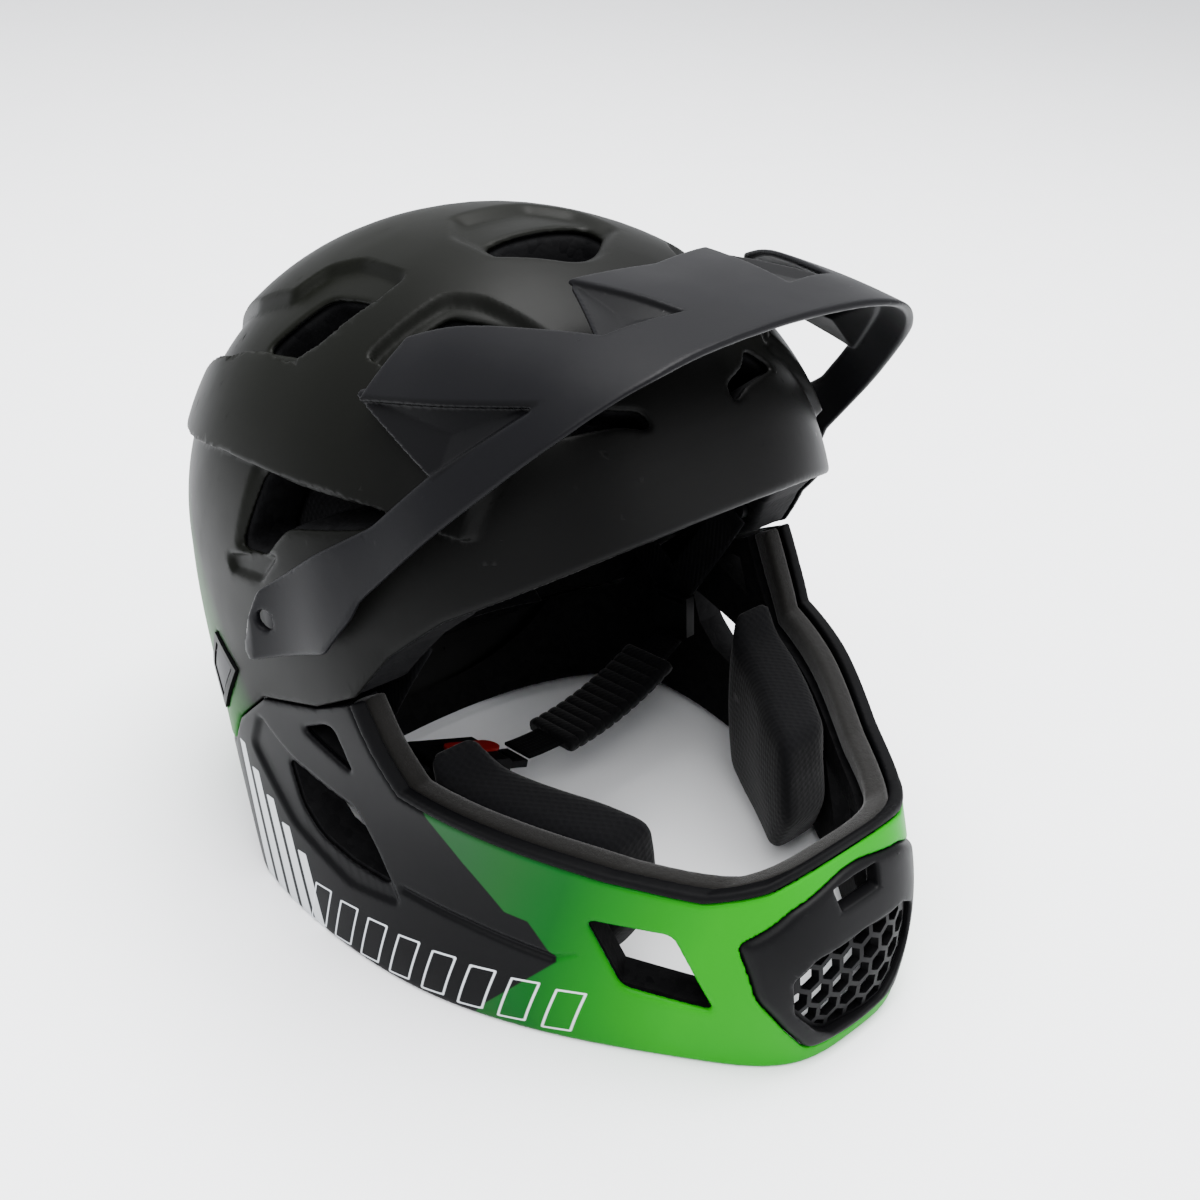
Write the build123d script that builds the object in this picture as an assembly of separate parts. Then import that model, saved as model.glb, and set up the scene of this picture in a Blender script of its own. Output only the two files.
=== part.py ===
from build123d import *
import os
import math

# Driving dimensions in millimetres
half_width = 112.4
front_reach = 122.9
rear_reach = 127.0
dome_centre_y = -12.0
dome_base_z = 150.0
dome_top_z = 263.4
jaw_reach = 190.0
shell_wall = 2.6
raised_height = 3.5
liner_gap = 0.3
crown_thickness = 24.0
chin_wall = 3.0
chin_foam = 13.0
seam_gap = 0.4
far_cut = 400.0
rest_slope = 7.18
rest_height = 25.73
rest_shift = 27.77
floor_gap = 0.4

# Shape powers of the dome
plan_front_power = 2.43
plan_rear_power = 2.2
rise_power = 2.05
front_angle_shares = [0, 0.184, 0.380, 0.595, 0.744, 0.889, 1]
dome_level_shares = [0, 0.22, 0.42, 0.60, 0.74, 0.85, 0.93, 0.975, 0.995]
rear_steps = 6

# Lower levels: height share of the dome base, rear reach share, outline shares front to side
level_shares = [
    (-0.06, 0.22, [(0, 0.99), (0.24, 0.97), (0.44, 0.85), (0.69, 0.65), (0.85, 0.47), (0.97, 0.24),
                   (0.99, 0)]),
    (0.13, 0.36, [(0, 1.015), (0.27, 0.985), (0.49, 0.86), (0.75, 0.64), (0.90, 0.463), (0.99, 0.237),
                  (1, 0)]),
    (0.33, 0.52, [(0, 1.015), (0.30, 0.98), (0.53, 0.83), (0.765, 0.61), (0.907, 0.42), (0.988, 0.21),
                  (1.003, 0)]),
    (0.57, 0.73, [(0, 0.955), (0.32, 0.93), (0.58, 0.785), (0.79, 0.595), (0.916, 0.40), (0.983, 0.184),
                  (1.002, 0.016)]),
    (0.80, 0.93, [(0, 0.875), (0.37, 0.853), (0.66, 0.737), (0.863, 0.558), (0.943, 0.40), (0.988, 0.184),
                  (1, 0.042)]),
]

# Shell edge seen from the side: brow rim, temple, seam, rear joint
rim_shares = [
    (-0.80, 1.228), (-0.69, 1.223), (-0.672, 1.207), (-0.621, 1.167), (-0.567, 1.127), (-0.493, 1.077),
    (-0.403, 0.98), (-0.332, 0.863), (-0.221, 0.793), (-0.047, 0.74), (0.063, 0.633),
    (0.126, 0.527), (0.253, 0.48), (0.274, 0.2)]
port_shares = [(-0.335, 0.853), (-0.374, 0.753), (-0.416, 0.66), (-0.563, 0.607), (-0.742, 0.533),
               (-0.879, 0.50), (-0.942, 0.513), (-0.968, 0.535), (-1.10, 0.54)]
shell_foot_share = 0.045

# Vents in the shell
side_vent_shares = [(-0.077, 1.304), (-0.386, 1.293), (-0.350, 1.255), (-0.271, 1.235), (-0.177, 1.213),
                    (-0.153, 1.188), (-0.114, 1.129), (-0.046, 1.120), (-0.028, 1.127)]
ridge_shares = [(-0.524, 1.253), (-0.40, 1.30), (-0.272, 1.32), (-0.10, 1.32), (0.035, 1.32),
                (0.221, 1.29), (0.45, 1.265), (0.90, 1.20), (0.90, 1.90), (-0.48, 1.90)]
upper_vent_shares = [(-0.21, -0.14), (-0.055, 0.11), (0.17, 0.135), (0.105, -0.035), (0.03, -0.122)]
upper_frame_shares = [(-0.20, 0.10), (-0.194, 0.234), (-0.118, 0.277), (0.007, 0.293), (0.20, 0.279),
                      (0.208, 0.15)]
crown_recess_shares = [(0.057, 0.137), (-0.08, 0.086), (-0.248, -0.053), (-0.171, -0.116), (0.354, -0.06),
                       (0.36, 0.03)]
crown_vent_shares = [(0.015, 0.055), (-0.09, -0.035), (0.24, -0.04), (0.22, 0.0)]
top_recess_shares = [(0, -0.65), (0.16, -0.64), (0.34, -0.47), (0.34, -0.29), (0.16, -0.15), (0, -0.15)]
top_vent_shares = [(0, -0.58), (0.12, -0.57), (0.24, -0.44), (0.24, -0.33), (0.11, -0.22), (0, -0.22)]
brow_vent_shares = [(-0.17, 0.01), (0.045, 0.015), (0.15, -0.01), (0.133, 0.045), (0.0, 0.065), (-0.08, 0.11)]
rear_vent_shares = [(-0.16, -0.10), (0.12, -0.14), (0.18, 0.06), (-0.08, 0.14)]
vent_span = 100.0
upper_vent_place = (-74.0, -10.0, 240.0)
crown_vent_place = (-58.0, -60.0, 244.0)
brow_vent_place = (-34.0, -110.0, 214.0)
rear_vent_place = (-52.0, 98.0, 190.0)
upper_vent_aim = (90.0, 46.0)
crown_vent_aim = (50.0, 55.0)
brow_vent_aim = (20.0, 35.0)
rear_vent_aim = (152.0, 28.0)
vent_depth = 60.0

# Chin bar openings and relief
chin_panel_shares = [(-0.021, 0.68), (-0.116, 0.613), (-0.289, 0.553), (-0.326, 0.473), (-0.379, 0.33),
                     (-0.258, 0.33), (-0.10, 0.42), (0.02, 0.58)]
small_vent_shares = [(-0.168, 0.713), (-0.237, 0.753), (-0.263, 0.753), (-0.295, 0.653)]
large_vent_shares = [(-0.10, 0.593), (-0.20, 0.56), (-0.284, 0.533), (-0.326, 0.44), (-0.353, 0.373),
                     (-0.258, 0.393), (-0.174, 0.427), (-0.126, 0.487)]
groove_shares = [(-0.384, 0.385), (-0.52, 0.347), (-0.663, 0.30), (-0.70, 0.312), (-0.66, 0.285),
                 (-0.52, 0.332), (-0.384, 0.370)]
front_vent_shares = [(-0.20, 0.14), (0.085, 0.12), (0.22, -0.16), (-0.085, -0.10)]
front_vent_place = (-63.0, -153.0, 46.0)
front_vent_aim = (48.0, 0.0)
relief_depth = 1.6
insert_shares = [(0, 0.475), (0.055, 0.472), (0.25, 0.44), (0.391, 0.38), (0.356, 0.235), (0.276, 0.135),
                 (0.205, 0.062), (0, 0.055)]
mesh_shares = [(0, 0.33), (0.20, 0.318), (0.276, 0.28), (0.267, 0.187), (0.187, 0.113), (0.125, 0.082),
               (0, 0.078)]
slot_shares = [(0, 0.40), (0.085, 0.40), (0.10, 0.452), (0, 0.456)]
insert_proud = 1.4
insert_wall = 4.4
insert_gap = 0.25
mesh_gap = 0.1
mesh_sink = 1.5
mesh_wall = 3.4
hex_pitch = 9.2
hex_across = 7.4
hex_rows = 3
hex_columns = 4
least_hole_share = 0.13
trim_height = 3.2
trim_wall = 4.6
trim_proud = 0.5
strip_wall = 9.0
strip_drop = 1.2

# Visor arches: place along the length, then half outline of the outer face, as shares
visor_wall = 2.6
visor_top_share = 1.45
visor_shares = [
    (-0.86, [(0, 1.664), (0.25, 1.656), (0.44, 1.635), (0.57, 1.585), (0.66, 1.50), (0.73, 1.35)]),
    (-0.742, [(0, 1.690), (0.27, 1.682), (0.45, 1.660), (0.62, 1.605), (0.72, 1.530), (0.83, 1.27)]),
    (-0.632, [(0, 1.713), (0.27, 1.707), (0.49, 1.675), (0.66, 1.617), (0.78, 1.510), (0.92, 1.12)]),
    (-0.526, [(0, 1.727), (0.27, 1.72), (0.49, 1.69), (0.67, 1.635), (0.80, 1.525), (0.965, 1.05)]),
    (-0.416, [(0, 1.737), (0.27, 1.73), (0.50, 1.70), (0.69, 1.635), (0.825, 1.51), (1.003, 0.92)]),
    (-0.316, [(0, 1.757), (0.27, 1.747), (0.52, 1.70), (0.70, 1.625), (0.835, 1.51), (1.012, 0.86)]),
    (-0.184, [(0, 1.80), (0.27, 1.785), (0.53, 1.73), (0.72, 1.64), (0.86, 1.51), (1.033, 0.84)]),
    (-0.042, [(0, 1.82), (0.27, 1.805), (0.53, 1.75), (0.73, 1.65), (0.92, 1.51), (1.15, 0.84)]),
]
visor_side_shares = [
    (-0.821, 1.72), (-0.813, 1.633), (-0.742, 1.533), (-0.632, 1.40), (-0.542, 1.293), (-0.416, 1.14),
    (-0.395, 1.093), (-0.321, 0.985), (-0.120, 0.895), (-0.097, 0.915), (-0.155, 1.08), (-0.30, 1.205),
    (-0.426, 1.30), (-0.532, 1.427), (-0.675, 1.572), (-0.316, 1.513), (-0.345, 1.62), (-0.345, 1.90),
    (-0.821, 1.90)]
visor_top_shares = [
    (0, -0.511), (0.276, -0.474), (0.215, -0.70), (0.445, -0.668), (0.676, -0.345), (0.80, -0.316),
    (1.2, -0.316), (1.2, 0.2), (0, 0.2)]
boss_in = 107.8
boss_out = 113.9
peg_in = 109.6
cap_seat = 115.6
pivot_y = -32.0
pivot_z = 152.0
peg_radius = 3.5
peg_gap = 0.08
cap_radius = 5.5
cap_height = 1.0
guide_reach = 18.5
guide_radius = 2.4
guide_gap = 0.5
guide_low = -22.0
guide_high = 22.0

# Latch on each rear lower side
latch_shares = [(0.13, 0.833), (0.042, 0.773), (0.10, 0.68), (0.142, 0.613), (0.20, 0.70)]
lever_shares = [(0.128, 0.80), (0.068, 0.765), (0.112, 0.70), (0.142, 0.655), (0.175, 0.715)]
latch_proud = 1.0
latch_sink = 8.0
latch_pocket = 6.2
lever_proud = 0.6
lever_sink = 2.6
lever_gap = 0.9
pin_radius = 1.1
pin_gap = 0.05
pin_length = 20.0
pin_x = 109.0
pin_y = 20.0
pin_z = 115.5
pin_turn = 8.0
hook_front = -14.0
hook_rear = -4.0
hook_low = 80.0
hook_high = 115.5
hook_wall = 2.5
hook_gap = 0.5
hook_path = 32.0

# Pads
pad_thickness = 9.0
pad_gap = 0.3
cheek_thickness = 26.0
cheek_shares = [(-0.374, 0.70), (-0.416, 0.62), (-0.563, 0.565), (-0.674, 0.52), (-0.69, 0.30), (-0.62, 0.15),
                (-0.45, 0.17), (-0.374, 0.22)]
brow_pad_shares = [(-0.80, 1.245), (-0.36, 1.03), (-0.36, 1.16), (-0.80, 1.38)]
side_pad_shares = [(-0.22, 1.0), (0.20, 1.0), (0.20, 1.22), (-0.22, 1.22)]
crown_pad_shares = [(-0.16, -0.26), (0.16, -0.26), (0.16, 0.42), (-0.16, 0.42)]
nape_pad_shares = [(-0.52, 0.50), (0.52, 0.50), (0.44, 0.78), (-0.44, 0.78)]
liner_foot_share = 0.46
liner_drop = 4.8

# Straps and buckle
strap_plane = 77.5
strap_span = 87.2
strap_width = 16.0
strap_wall = 1.6
strap_steps = 8
strap_middle_y = -27.0
strap_low_z = 54.0
strap_rise = 31.0
sleeve_width = 26.0
sleeve_wall = 6.4
sleeve_from = 4.0
sleeve_to = 62.0
sleeve_overrun = 1.0
front_anchor_y = -60.0
front_anchor_z = 142.0
rear_anchor_y = 24.0
rear_anchor_z = 132.0
anchor_radius = 5.0
divider_size = 20.0
divider_wall = 4.6
divider_drop = 8.0
divider_slot = 15.0
buckle_x = -44.0
buckle_turn = 19.0
buckle_length = 36.0
buckle_width = 24.0
buckle_height = 11.0
buckle_wall = 2.0
tongue_length = 44.0
tongue_width = 13.0
tongue_wall = 3.0
tongue_gap = 0.2
tooth_pitch = 2.4
tooth_depth = 0.9
tooth_count = 8
tooth_width = 9.1
catch_length = 20.0
catch_wall = 2.4
catch_gap = 0.3
tab_length = 26.0
tab_share = 0.7
tab_wall = 1.2


# Plan outline of the body at one height, pushed out by an offset
def ring_points(z, offset):
    if z >= dome_base_z:
        rise = (z - dome_base_z) / (dome_top_z + offset - dome_base_z)
        k = (1 - rise ** rise_power) ** (1 / rise_power)
        front = []
        for share in front_angle_shares:
            a = share * math.pi / 2
            x = (half_width + offset) * k * math.sin(a) ** (2 / plan_front_power)
            y = dome_centre_y - (front_reach + offset) * k * abs(math.cos(a)) ** (2 / plan_front_power)
            front.append((x, y))
        side_x = (half_width + offset) * k
        side_y = dome_centre_y
        reach = (rear_reach + offset) * k
    else:
        front, reach = level_outline(z)
        front = push_out(front, offset)
        side_x, side_y = front[-1]
        reach = reach + offset
    rear = []
    for step in range(1, rear_steps + 1):
        b = step * math.pi / 2 / rear_steps
        x = side_x * abs(math.cos(b)) ** (2 / plan_rear_power)
        y = side_y + reach * math.sin(b) ** (2 / plan_rear_power)
        rear.append((x, y))
    rear[-1] = (0, side_y + reach)
    return front + rear


# Front outline and rear reach between the listed levels
def level_outline(z):
    heights = [row[0] * dome_base_z for row in level_shares] + [dome_base_z]
    rows = [[(x * half_width, -y * jaw_reach) for x, y in row[2]] for row in level_shares]
    base = []
    for share in front_angle_shares:
        a = share * math.pi / 2
        x = half_width * math.sin(a) ** (2 / plan_front_power)
        y = dome_centre_y - front_reach * abs(math.cos(a)) ** (2 / plan_front_power)
        base.append((x, y))
    rows.append(base)
    reaches = [row[1] * rear_reach for row in level_shares] + [rear_reach]
    i = 0
    while i < len(heights) - 2 and z > heights[i + 1]:
        i += 1
    t = (z - heights[i]) / (heights[i + 1] - heights[i])
    outline = []
    for p, q in zip(rows[i], rows[i + 1]):
        outline.append((p[0] + t * (q[0] - p[0]), p[1] + t * (q[1] - p[1])))
    return outline, reaches[i] + t * (reaches[i + 1] - reaches[i])


# Move an outline along its own normals
def push_out(outline, offset):
    if offset == 0:
        return outline
    moved = []
    last = len(outline) - 1
    for i, (x, y) in enumerate(outline):
        p = outline[max(i - 1, 0)]
        q = outline[min(i + 1, last)]
        if i == 0:
            p = (-q[0], q[1])
        if i == last:
            q = (x, y + abs(y - p[1]) + half_width)
        dx, dy = q[0] - p[0], q[1] - p[1]
        length = math.hypot(dx, dy)
        moved.append((x + dy / length * offset, y - dx / length * offset))
    moved[0] = (0, outline[0][1] - offset)
    moved[-1] = (outline[-1][0] + offset, outline[-1][1])
    return moved


# Closed face of one ring
def ring_face(z, offset):
    half = ring_points(z, offset)
    left = [(-x, y) for x, y in half[1:-1]]
    points = half + left[::-1]
    return Plane.XY.offset(z) * make_face(Spline(*points, periodic=True))


# Body of the helmet outside, or pushed in or out by an offset
made = {}


def body(offset):
    if offset not in made:
        span = dome_top_z + offset - dome_base_z
        faces = [ring_face(row[0] * dome_base_z, offset) for row in level_shares]
        faces += [ring_face(dome_base_z + share * span, offset) for share in dome_level_shares]
        made[offset] = loft(faces)
    return made[offset]


# Lower half of the body, below the dome
def barrel(offset):
    key = ("low", offset)
    if key not in made:
        faces = [ring_face(row[0] * dome_base_z, offset) for row in level_shares]
        made[key] = loft(faces + [ring_face(dome_base_z, offset)])
    return made[key]


# Prisms seen from the side, from above, from the front and along an aimed line
def side_prism(shares):
    points = [(y * jaw_reach, z * dome_base_z) for y, z in shares]
    return extrude(Plane.YZ * make_face(Polyline(*points, close=True)), amount=far_cut / 2, both=True)


def top_prism(shares, y_size):
    points = [(x * half_width, y * y_size) for x, y in shares]
    return extrude(make_face(Polyline(*points, close=True)), amount=far_cut)


def front_prism(shares, grow=0.0):
    points = [(x * half_width, z * dome_base_z) for x, z in shares]
    points += [(-x, z) for x, z in points[1:-1]][::-1]
    face = make_face(Polyline(*points, close=True))
    if grow:
        face = offset(face, amount=grow, kind=Kind.INTERSECTION)
    return extrude(Plane.XZ * face, amount=far_cut)


def aimed_prism(place, aim, shares, inward):
    turn, lift = math.radians(aim[0]), math.radians(aim[1])
    normal = (-math.sin(turn) * math.cos(lift), -math.cos(turn) * math.cos(lift), math.sin(lift))
    along = (math.cos(turn), -math.sin(turn), 0)
    points = [(u * vent_span, v * vent_span) for u, v in shares]
    face = Plane(origin=place, x_dir=along, z_dir=normal) * make_face(Polyline(*points, close=True))
    return extrude(face, amount=vent_depth / 2) + extrude(face, amount=-inward)


def both_sides(part):
    return part + mirror(part, about=Plane.YZ)


# Everything above the floor of the tilted resting pose
def above_floor(gap):
    lift = rest_height + gap
    block = Box(far_cut, 2 * far_cut, far_cut, align=(Align.CENTER, Align.CENTER, Align.MIN))
    return Rot(rest_slope, 0, 0) * (Pos(0, 0, lift) * block)


# From the shape's own pose to the resting pose on the floor
def rest(shape):
    return Pos(0, rest_shift, -rest_height) * (Rot(-rest_slope, 0, 0) * shape)


def save(shape, name):
    export_step(rest(shape), "parts/" + name + ".step")


def shell_region(drop=0.0):
    points = [(y * jaw_reach, z * dome_base_z + drop) for y, z in rim_shares]
    points += [(points[-1][0], -far_cut / 4), (far_cut / 2, -far_cut / 4), (far_cut / 2, far_cut)]
    points += [(-far_cut / 2, far_cut), (-far_cut / 2, points[0][1])]
    return extrude(Plane.YZ * make_face(Polyline(*points, close=True)), amount=far_cut / 2, both=True)


# Edge of the eyeport from the temple to the front, moved into the bar
def port_line(inset):
    line = [(y * jaw_reach, z * dome_base_z) for y, z in port_shares]
    moved = []
    for i, (y, z) in enumerate(line):
        p = line[max(i - 1, 0)]
        q = line[min(i + 1, len(line) - 1)]
        dy, dz = q[0] - p[0], q[1] - p[1]
        length = math.hypot(dy, dz)
        moved.append((y - dz / length * inset, z + dy / length * inset))
    return moved


def port_band(start, end):
    points = port_line(start) + port_line(end)[::-1]
    return extrude(Plane.YZ * make_face(Polyline(*points, close=True)), amount=far_cut / 2, both=True)


def chin_region(inset=0.0, back=0.0):
    top = port_line(inset)
    seam = [(y * jaw_reach - back, z * dome_base_z - seam_gap - back) for y, z in rim_shares[8:]]
    front = -far_cut / 2 - jaw_reach / 4
    points = top[::-1] + seam + [(seam[-1][0], -far_cut / 4), (front, -far_cut / 4), (front, top[-1][1])]
    return extrude(Plane.YZ * make_face(Polyline(*points, close=True)), amount=far_cut / 2, both=True)


def latch_prism(shares, side, grow=0.0):
    points = [(y * jaw_reach, z * dome_base_z) for y, z in shares]
    face = make_face(Polyline(*points, close=True))
    if grow:
        face = offset(face, amount=grow, kind=Kind.INTERSECTION)
    block = extrude(Plane.YZ * face, amount=side * far_cut / 2)
    return block


def guide_slot():
    wide = guide_radius + guide_gap
    ring = Circle(guide_reach + wide) - Circle(guide_reach - wide)
    sector = []
    for degrees in (guide_low, 0, guide_high):
        a = math.radians(180 + degrees)
        sector.append((2 * guide_reach * math.cos(a), 2 * guide_reach * math.sin(a)))
    wedge = make_face(Polyline((0, 0), *sector, close=True))
    face = ring & wedge
    return extrude(Plane.YZ.offset(-far_cut / 2) * Pos(pivot_y, pivot_z) * face, amount=far_cut)


# Everything in front of one line across
def in_front(y):
    return Pos(0, y - far_cut / 2, dome_base_z) * Box(far_cut, far_cut, far_cut)


def one_side(side):
    return Pos(side * far_cut / 2, 0, 0) * Box(far_cut, 2 * far_cut, 2 * far_cut)


def shell_vents():
    inward = vent_depth / 2
    vents = side_prism(side_vent_shares)
    vents += both_sides(aimed_prism(upper_vent_place, upper_vent_aim, upper_vent_shares, inward))
    vents += both_sides(aimed_prism(crown_vent_place, crown_vent_aim, crown_vent_shares, inward))
    vents += both_sides(aimed_prism(brow_vent_place, brow_vent_aim, brow_vent_shares, inward))
    vents += both_sides(aimed_prism(rear_vent_place, rear_vent_aim, rear_vent_shares, inward))
    return vents + both_sides(top_prism(top_vent_shares, vent_span))


# Outer shell with its raised crown panel, frames and vents
def make_shell():
    inward = vent_depth / 6
    frames = both_sides(aimed_prism(upper_vent_place, upper_vent_aim, upper_frame_shares, inward))
    frames += both_sides(aimed_prism(crown_vent_place, crown_vent_aim, crown_recess_shares, inward))
    frames += both_sides(top_prism(top_recess_shares, vent_span))
    raised = (body(raised_height) & side_prism(ridge_shares)) - frames
    shell = (body(0) & shell_region() & above_floor(shell_foot_share * dome_base_z)) + raised
    shell = shell - body(-shell_wall) - shell_vents()
    for side in (-1, 1):
        shell -= latch_prism(latch_shares, side, seam_gap)
    peg = Plane.YZ.offset(-far_cut / 2) * Pos(pivot_y, pivot_z) * Circle(peg_radius + peg_gap)
    return shell - guide_slot() - extrude(peg, amount=far_cut)


# Foam crown liner inside the shell
def make_liner():
    low = Pos(0, 0, liner_foot_share * dome_base_z + far_cut / 2) * Box(far_cut, far_cut, far_cut)
    liner = (body(-shell_wall - liner_gap) & shell_region(liner_drop) & low) - body(-crown_thickness)
    liner = liner - shell_vents() - hook_channel(body(-shell_wall - liner_gap), hook_path)
    for side in (-1, 1):
        liner -= latch_prism(latch_shares, side, hook_gap)
    return liner


# Channel that lets a chin bar hook pass
def hook_channel(block, path):
    depth = shell_wall + liner_gap + hook_wall + 2 * hook_gap
    points = [(hook_rear + hook_gap, hook_low - hook_gap), (hook_rear + hook_gap, hook_high + hook_gap),
              (hook_front - path, hook_high + hook_gap), (hook_front - path, hook_low - hook_gap)]
    face = Plane.YZ * make_face(Polyline(*points, close=True))
    return (extrude(face, amount=far_cut / 2, both=True) & block) - barrel(-depth - hook_gap)


def make_hooks():
    points = [(hook_rear, hook_low), (hook_rear, hook_high), (hook_front, hook_high), (hook_front, hook_low)]
    face = Plane.YZ * make_face(Polyline(*points, close=True))
    block = extrude(face, amount=far_cut / 2, both=True)
    return (block & barrel(-chin_wall - liner_gap)) - barrel(-chin_wall - liner_gap - hook_wall)


def chin_vents():
    vents = side_prism(small_vent_shares) + side_prism(large_vent_shares)
    front = aimed_prism(front_vent_place, front_vent_aim, front_vent_shares, vent_depth / 2)
    return vents + both_sides(front)


# Chin bar shell with side panel relief, groove and openings
def make_chin_bar():
    bar = (barrel(0) & chin_region(trim_height + seam_gap) & above_floor(0)) - barrel(-chin_wall)
    panel = side_prism(chin_panel_shares) + side_prism(groove_shares)
    return bar - [chin_vents(), panel - barrel(-relief_depth), front_prism(insert_shares, insert_gap)]


def make_chin_trim():
    return (barrel(trim_proud) & port_band(0, trim_height)) - barrel(-trim_wall)


def make_chin_strip():
    depth = trim_wall + liner_gap
    return (barrel(-depth) & port_band(strip_drop, strip_drop + strip_wall)) - barrel(-depth - strip_wall)


def make_chin_liner():
    region = chin_region(strip_drop + strip_wall + liner_gap, liner_gap)
    depth = chin_wall + liner_gap
    liner = (barrel(-depth) & region & above_floor(4 * relief_depth)) - barrel(-depth - chin_foam)
    return liner - [chin_vents(), hook_channel(barrel(-depth), 0), front_prism(insert_shares, insert_gap)]


# Black front insert with its slot and the opening for the honeycomb
def make_insert():
    block = barrel(insert_proud) & front_prism(insert_shares) & in_front(-jaw_reach / 2)
    block = block - barrel(-insert_wall) - front_prism(mesh_shares) - front_prism(slot_shares)
    return block & above_floor(floor_gap)


def make_mesh():
    middle = (mesh_shares[0][1] + mesh_shares[-1][1]) / 2 * dome_base_z
    points = [(x * half_width, z * dome_base_z) for x, z in mesh_shares]
    points += [(-x, z) for x, z in points[1:-1]][::-1]
    face = offset(make_face(Polyline(*points, close=True)), amount=-mesh_gap, kind=Kind.INTERSECTION)
    window = offset(face, amount=-mesh_sink, kind=Kind.INTERSECTION)
    holes = Sketch()
    for row in range(-hex_rows, hex_rows + 1):
        for column in range(-hex_columns, hex_columns + 1):
            x = hex_pitch * (column + (row % 2) / 2)
            z = middle + row * hex_pitch * math.sqrt(3) / 2
            hole = (Pos(x, z) * RegularPolygon(hex_across / math.sqrt(3), 6, rotation=30)) & window
            if hole and hole.area > least_hole_share * hex_across ** 2:
                holes += hole
    web = extrude(Plane.XZ * (face - holes), amount=far_cut)
    return (barrel(-mesh_sink) & web) - barrel(-mesh_sink - mesh_wall)


# Half outline moved along its own normals, for the inner face of the visor
def inner_arch(points, depth):
    moved = []
    last = len(points) - 1
    for i, (x, z) in enumerate(points):
        p = points[i - 1] if i else (-points[1][0], points[1][1])
        q = points[i + 1] if i < last else (2 * x - points[i - 1][0], 2 * z - points[i - 1][1])
        dx, dz = q[0] - p[0], q[1] - p[1]
        length = math.hypot(dx, dz)
        moved.append((x + dz / length * depth, z - dx / length * depth))
    return moved


def arch_face(y, shares, wall):
    half = [(x * half_width, z * dome_base_z) for x, z in shares]
    inner = inner_arch(half, wall)
    outer_line = [(-x, z) for x, z in half[1:]][::-1] + half
    inner_line = [(-x, z) for x, z in inner[1:]][::-1] + inner
    a = Spline(*outer_line)
    b = Spline(*inner_line)
    edges = [a, Line(outer_line[-1], inner_line[-1]), b, Line(outer_line[0], inner_line[0])]
    return Plane.XZ.offset(-y) * make_face(Wire(edges))


# Visor sheet with arms and backward fingers
def make_visor():
    sheet = loft([arch_face(y * jaw_reach, shares, visor_wall) for y, shares in visor_shares])
    cut = Pos(0, 0, visor_top_share * dome_base_z) * both_sides(top_prism(visor_top_shares, jaw_reach))
    visor = (sheet & side_prism(visor_side_shares)) - cut
    guide_y = pivot_y - guide_reach
    for side in (-1, 1):
        boss = Plane.YZ.offset(side * boss_in) * Pos(guide_y, pivot_z) * Circle(guide_radius)
        visor += extrude(boss, amount=side * (boss_out - boss_in))
        hole = Plane.YZ.offset(side * half_width / 2) * Pos(pivot_y, pivot_z) * Circle(peg_radius + peg_gap)
        visor -= extrude(hole, amount=side * half_width)
        sink = Plane.YZ.offset(side * cap_seat) * Pos(pivot_y, pivot_z) * Circle(cap_radius + guide_gap)
        visor -= extrude(sink, amount=side * half_width)
    return visor


def make_pegs():
    pegs = Part()
    for side in (-1, 1):
        shaft = Plane.YZ.offset(side * peg_in) * Pos(pivot_y, pivot_z) * Circle(peg_radius)
        cap = Plane.YZ.offset(side * (cap_seat + peg_gap)) * Pos(pivot_y, pivot_z) * Circle(cap_radius)
        pegs += extrude(shaft, amount=side * (cap_seat + cap_height / 2 - peg_in))
        pegs += extrude(cap, amount=side * cap_height)
    return pegs


def pin_body(side, radius, length):
    place = Pos(side * pin_x, pin_y, pin_z) * Rot(0, 0, side * pin_turn) * Rot(90, 0, 0)
    return place * Cylinder(radius, length)


def make_housing(side):
    block = (barrel(latch_proud) & latch_prism(latch_shares, side)) - barrel(-latch_sink)
    pocket = latch_prism(lever_shares, side, lever_gap) - barrel(-latch_pocket)
    return block - pocket - pin_body(side, pin_radius + pin_gap, pin_length + 2 * pin_gap)


def make_lever(side):
    block = (barrel(lever_proud) & latch_prism(lever_shares, side)) - barrel(-lever_sink)
    return block - pin_body(side, pin_radius + pin_gap, pin_length)


def pad_layer(prism, inside, thickness):
    return (body(-inside - pad_gap) & prism) - body(-inside - pad_gap - thickness)


def make_cheek(side):
    block = side_prism(cheek_shares) & one_side(side) & in_front(cheek_shares[0][0] * jaw_reach)
    outer = chin_wall + chin_foam + pad_gap
    return (barrel(-outer) & block) - barrel(-outer - cheek_thickness)


def make_nape_pad():
    points = [(x * half_width, z * dome_base_z) for x, z in nape_pad_shares]
    prism = extrude(Plane.XZ * make_face(Polyline(*points, close=True)), amount=-far_cut)
    return pad_layer(prism, crown_thickness, pad_thickness)


# Flat strap between two places in a plane across the helmet
def side_band(side, start, end):
    length = math.hypot(end[0] - start[0], end[1] - start[1])
    turn = math.degrees(math.atan2(end[1] - start[1], end[0] - start[0]))
    band = Plane.YZ.offset(side * strap_plane) * Pos(start[0], start[1]) * Rot(0, 0, turn)
    return band * (Pos(length / 2, 0, 0) * Box(length, strap_width, strap_wall))


def junction():
    return (strap_middle_y, hang(strap_plane) + divider_drop)


def make_side_straps(side):
    meet = (junction()[0], junction()[1] + divider_size / 2)
    front = side_band(side, (front_anchor_y, front_anchor_z), meet)
    rear = side_band(side, (rear_anchor_y, rear_anchor_z), meet)
    trim = Pos(side * strap_plane, meet[0], meet[1] - divider_size / 2)
    divider_room = divider_size - strap_wall + 2 * pad_gap
    return (front + rear) - trim * Box(4 * divider_wall, 2 * divider_size, divider_room)


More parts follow.
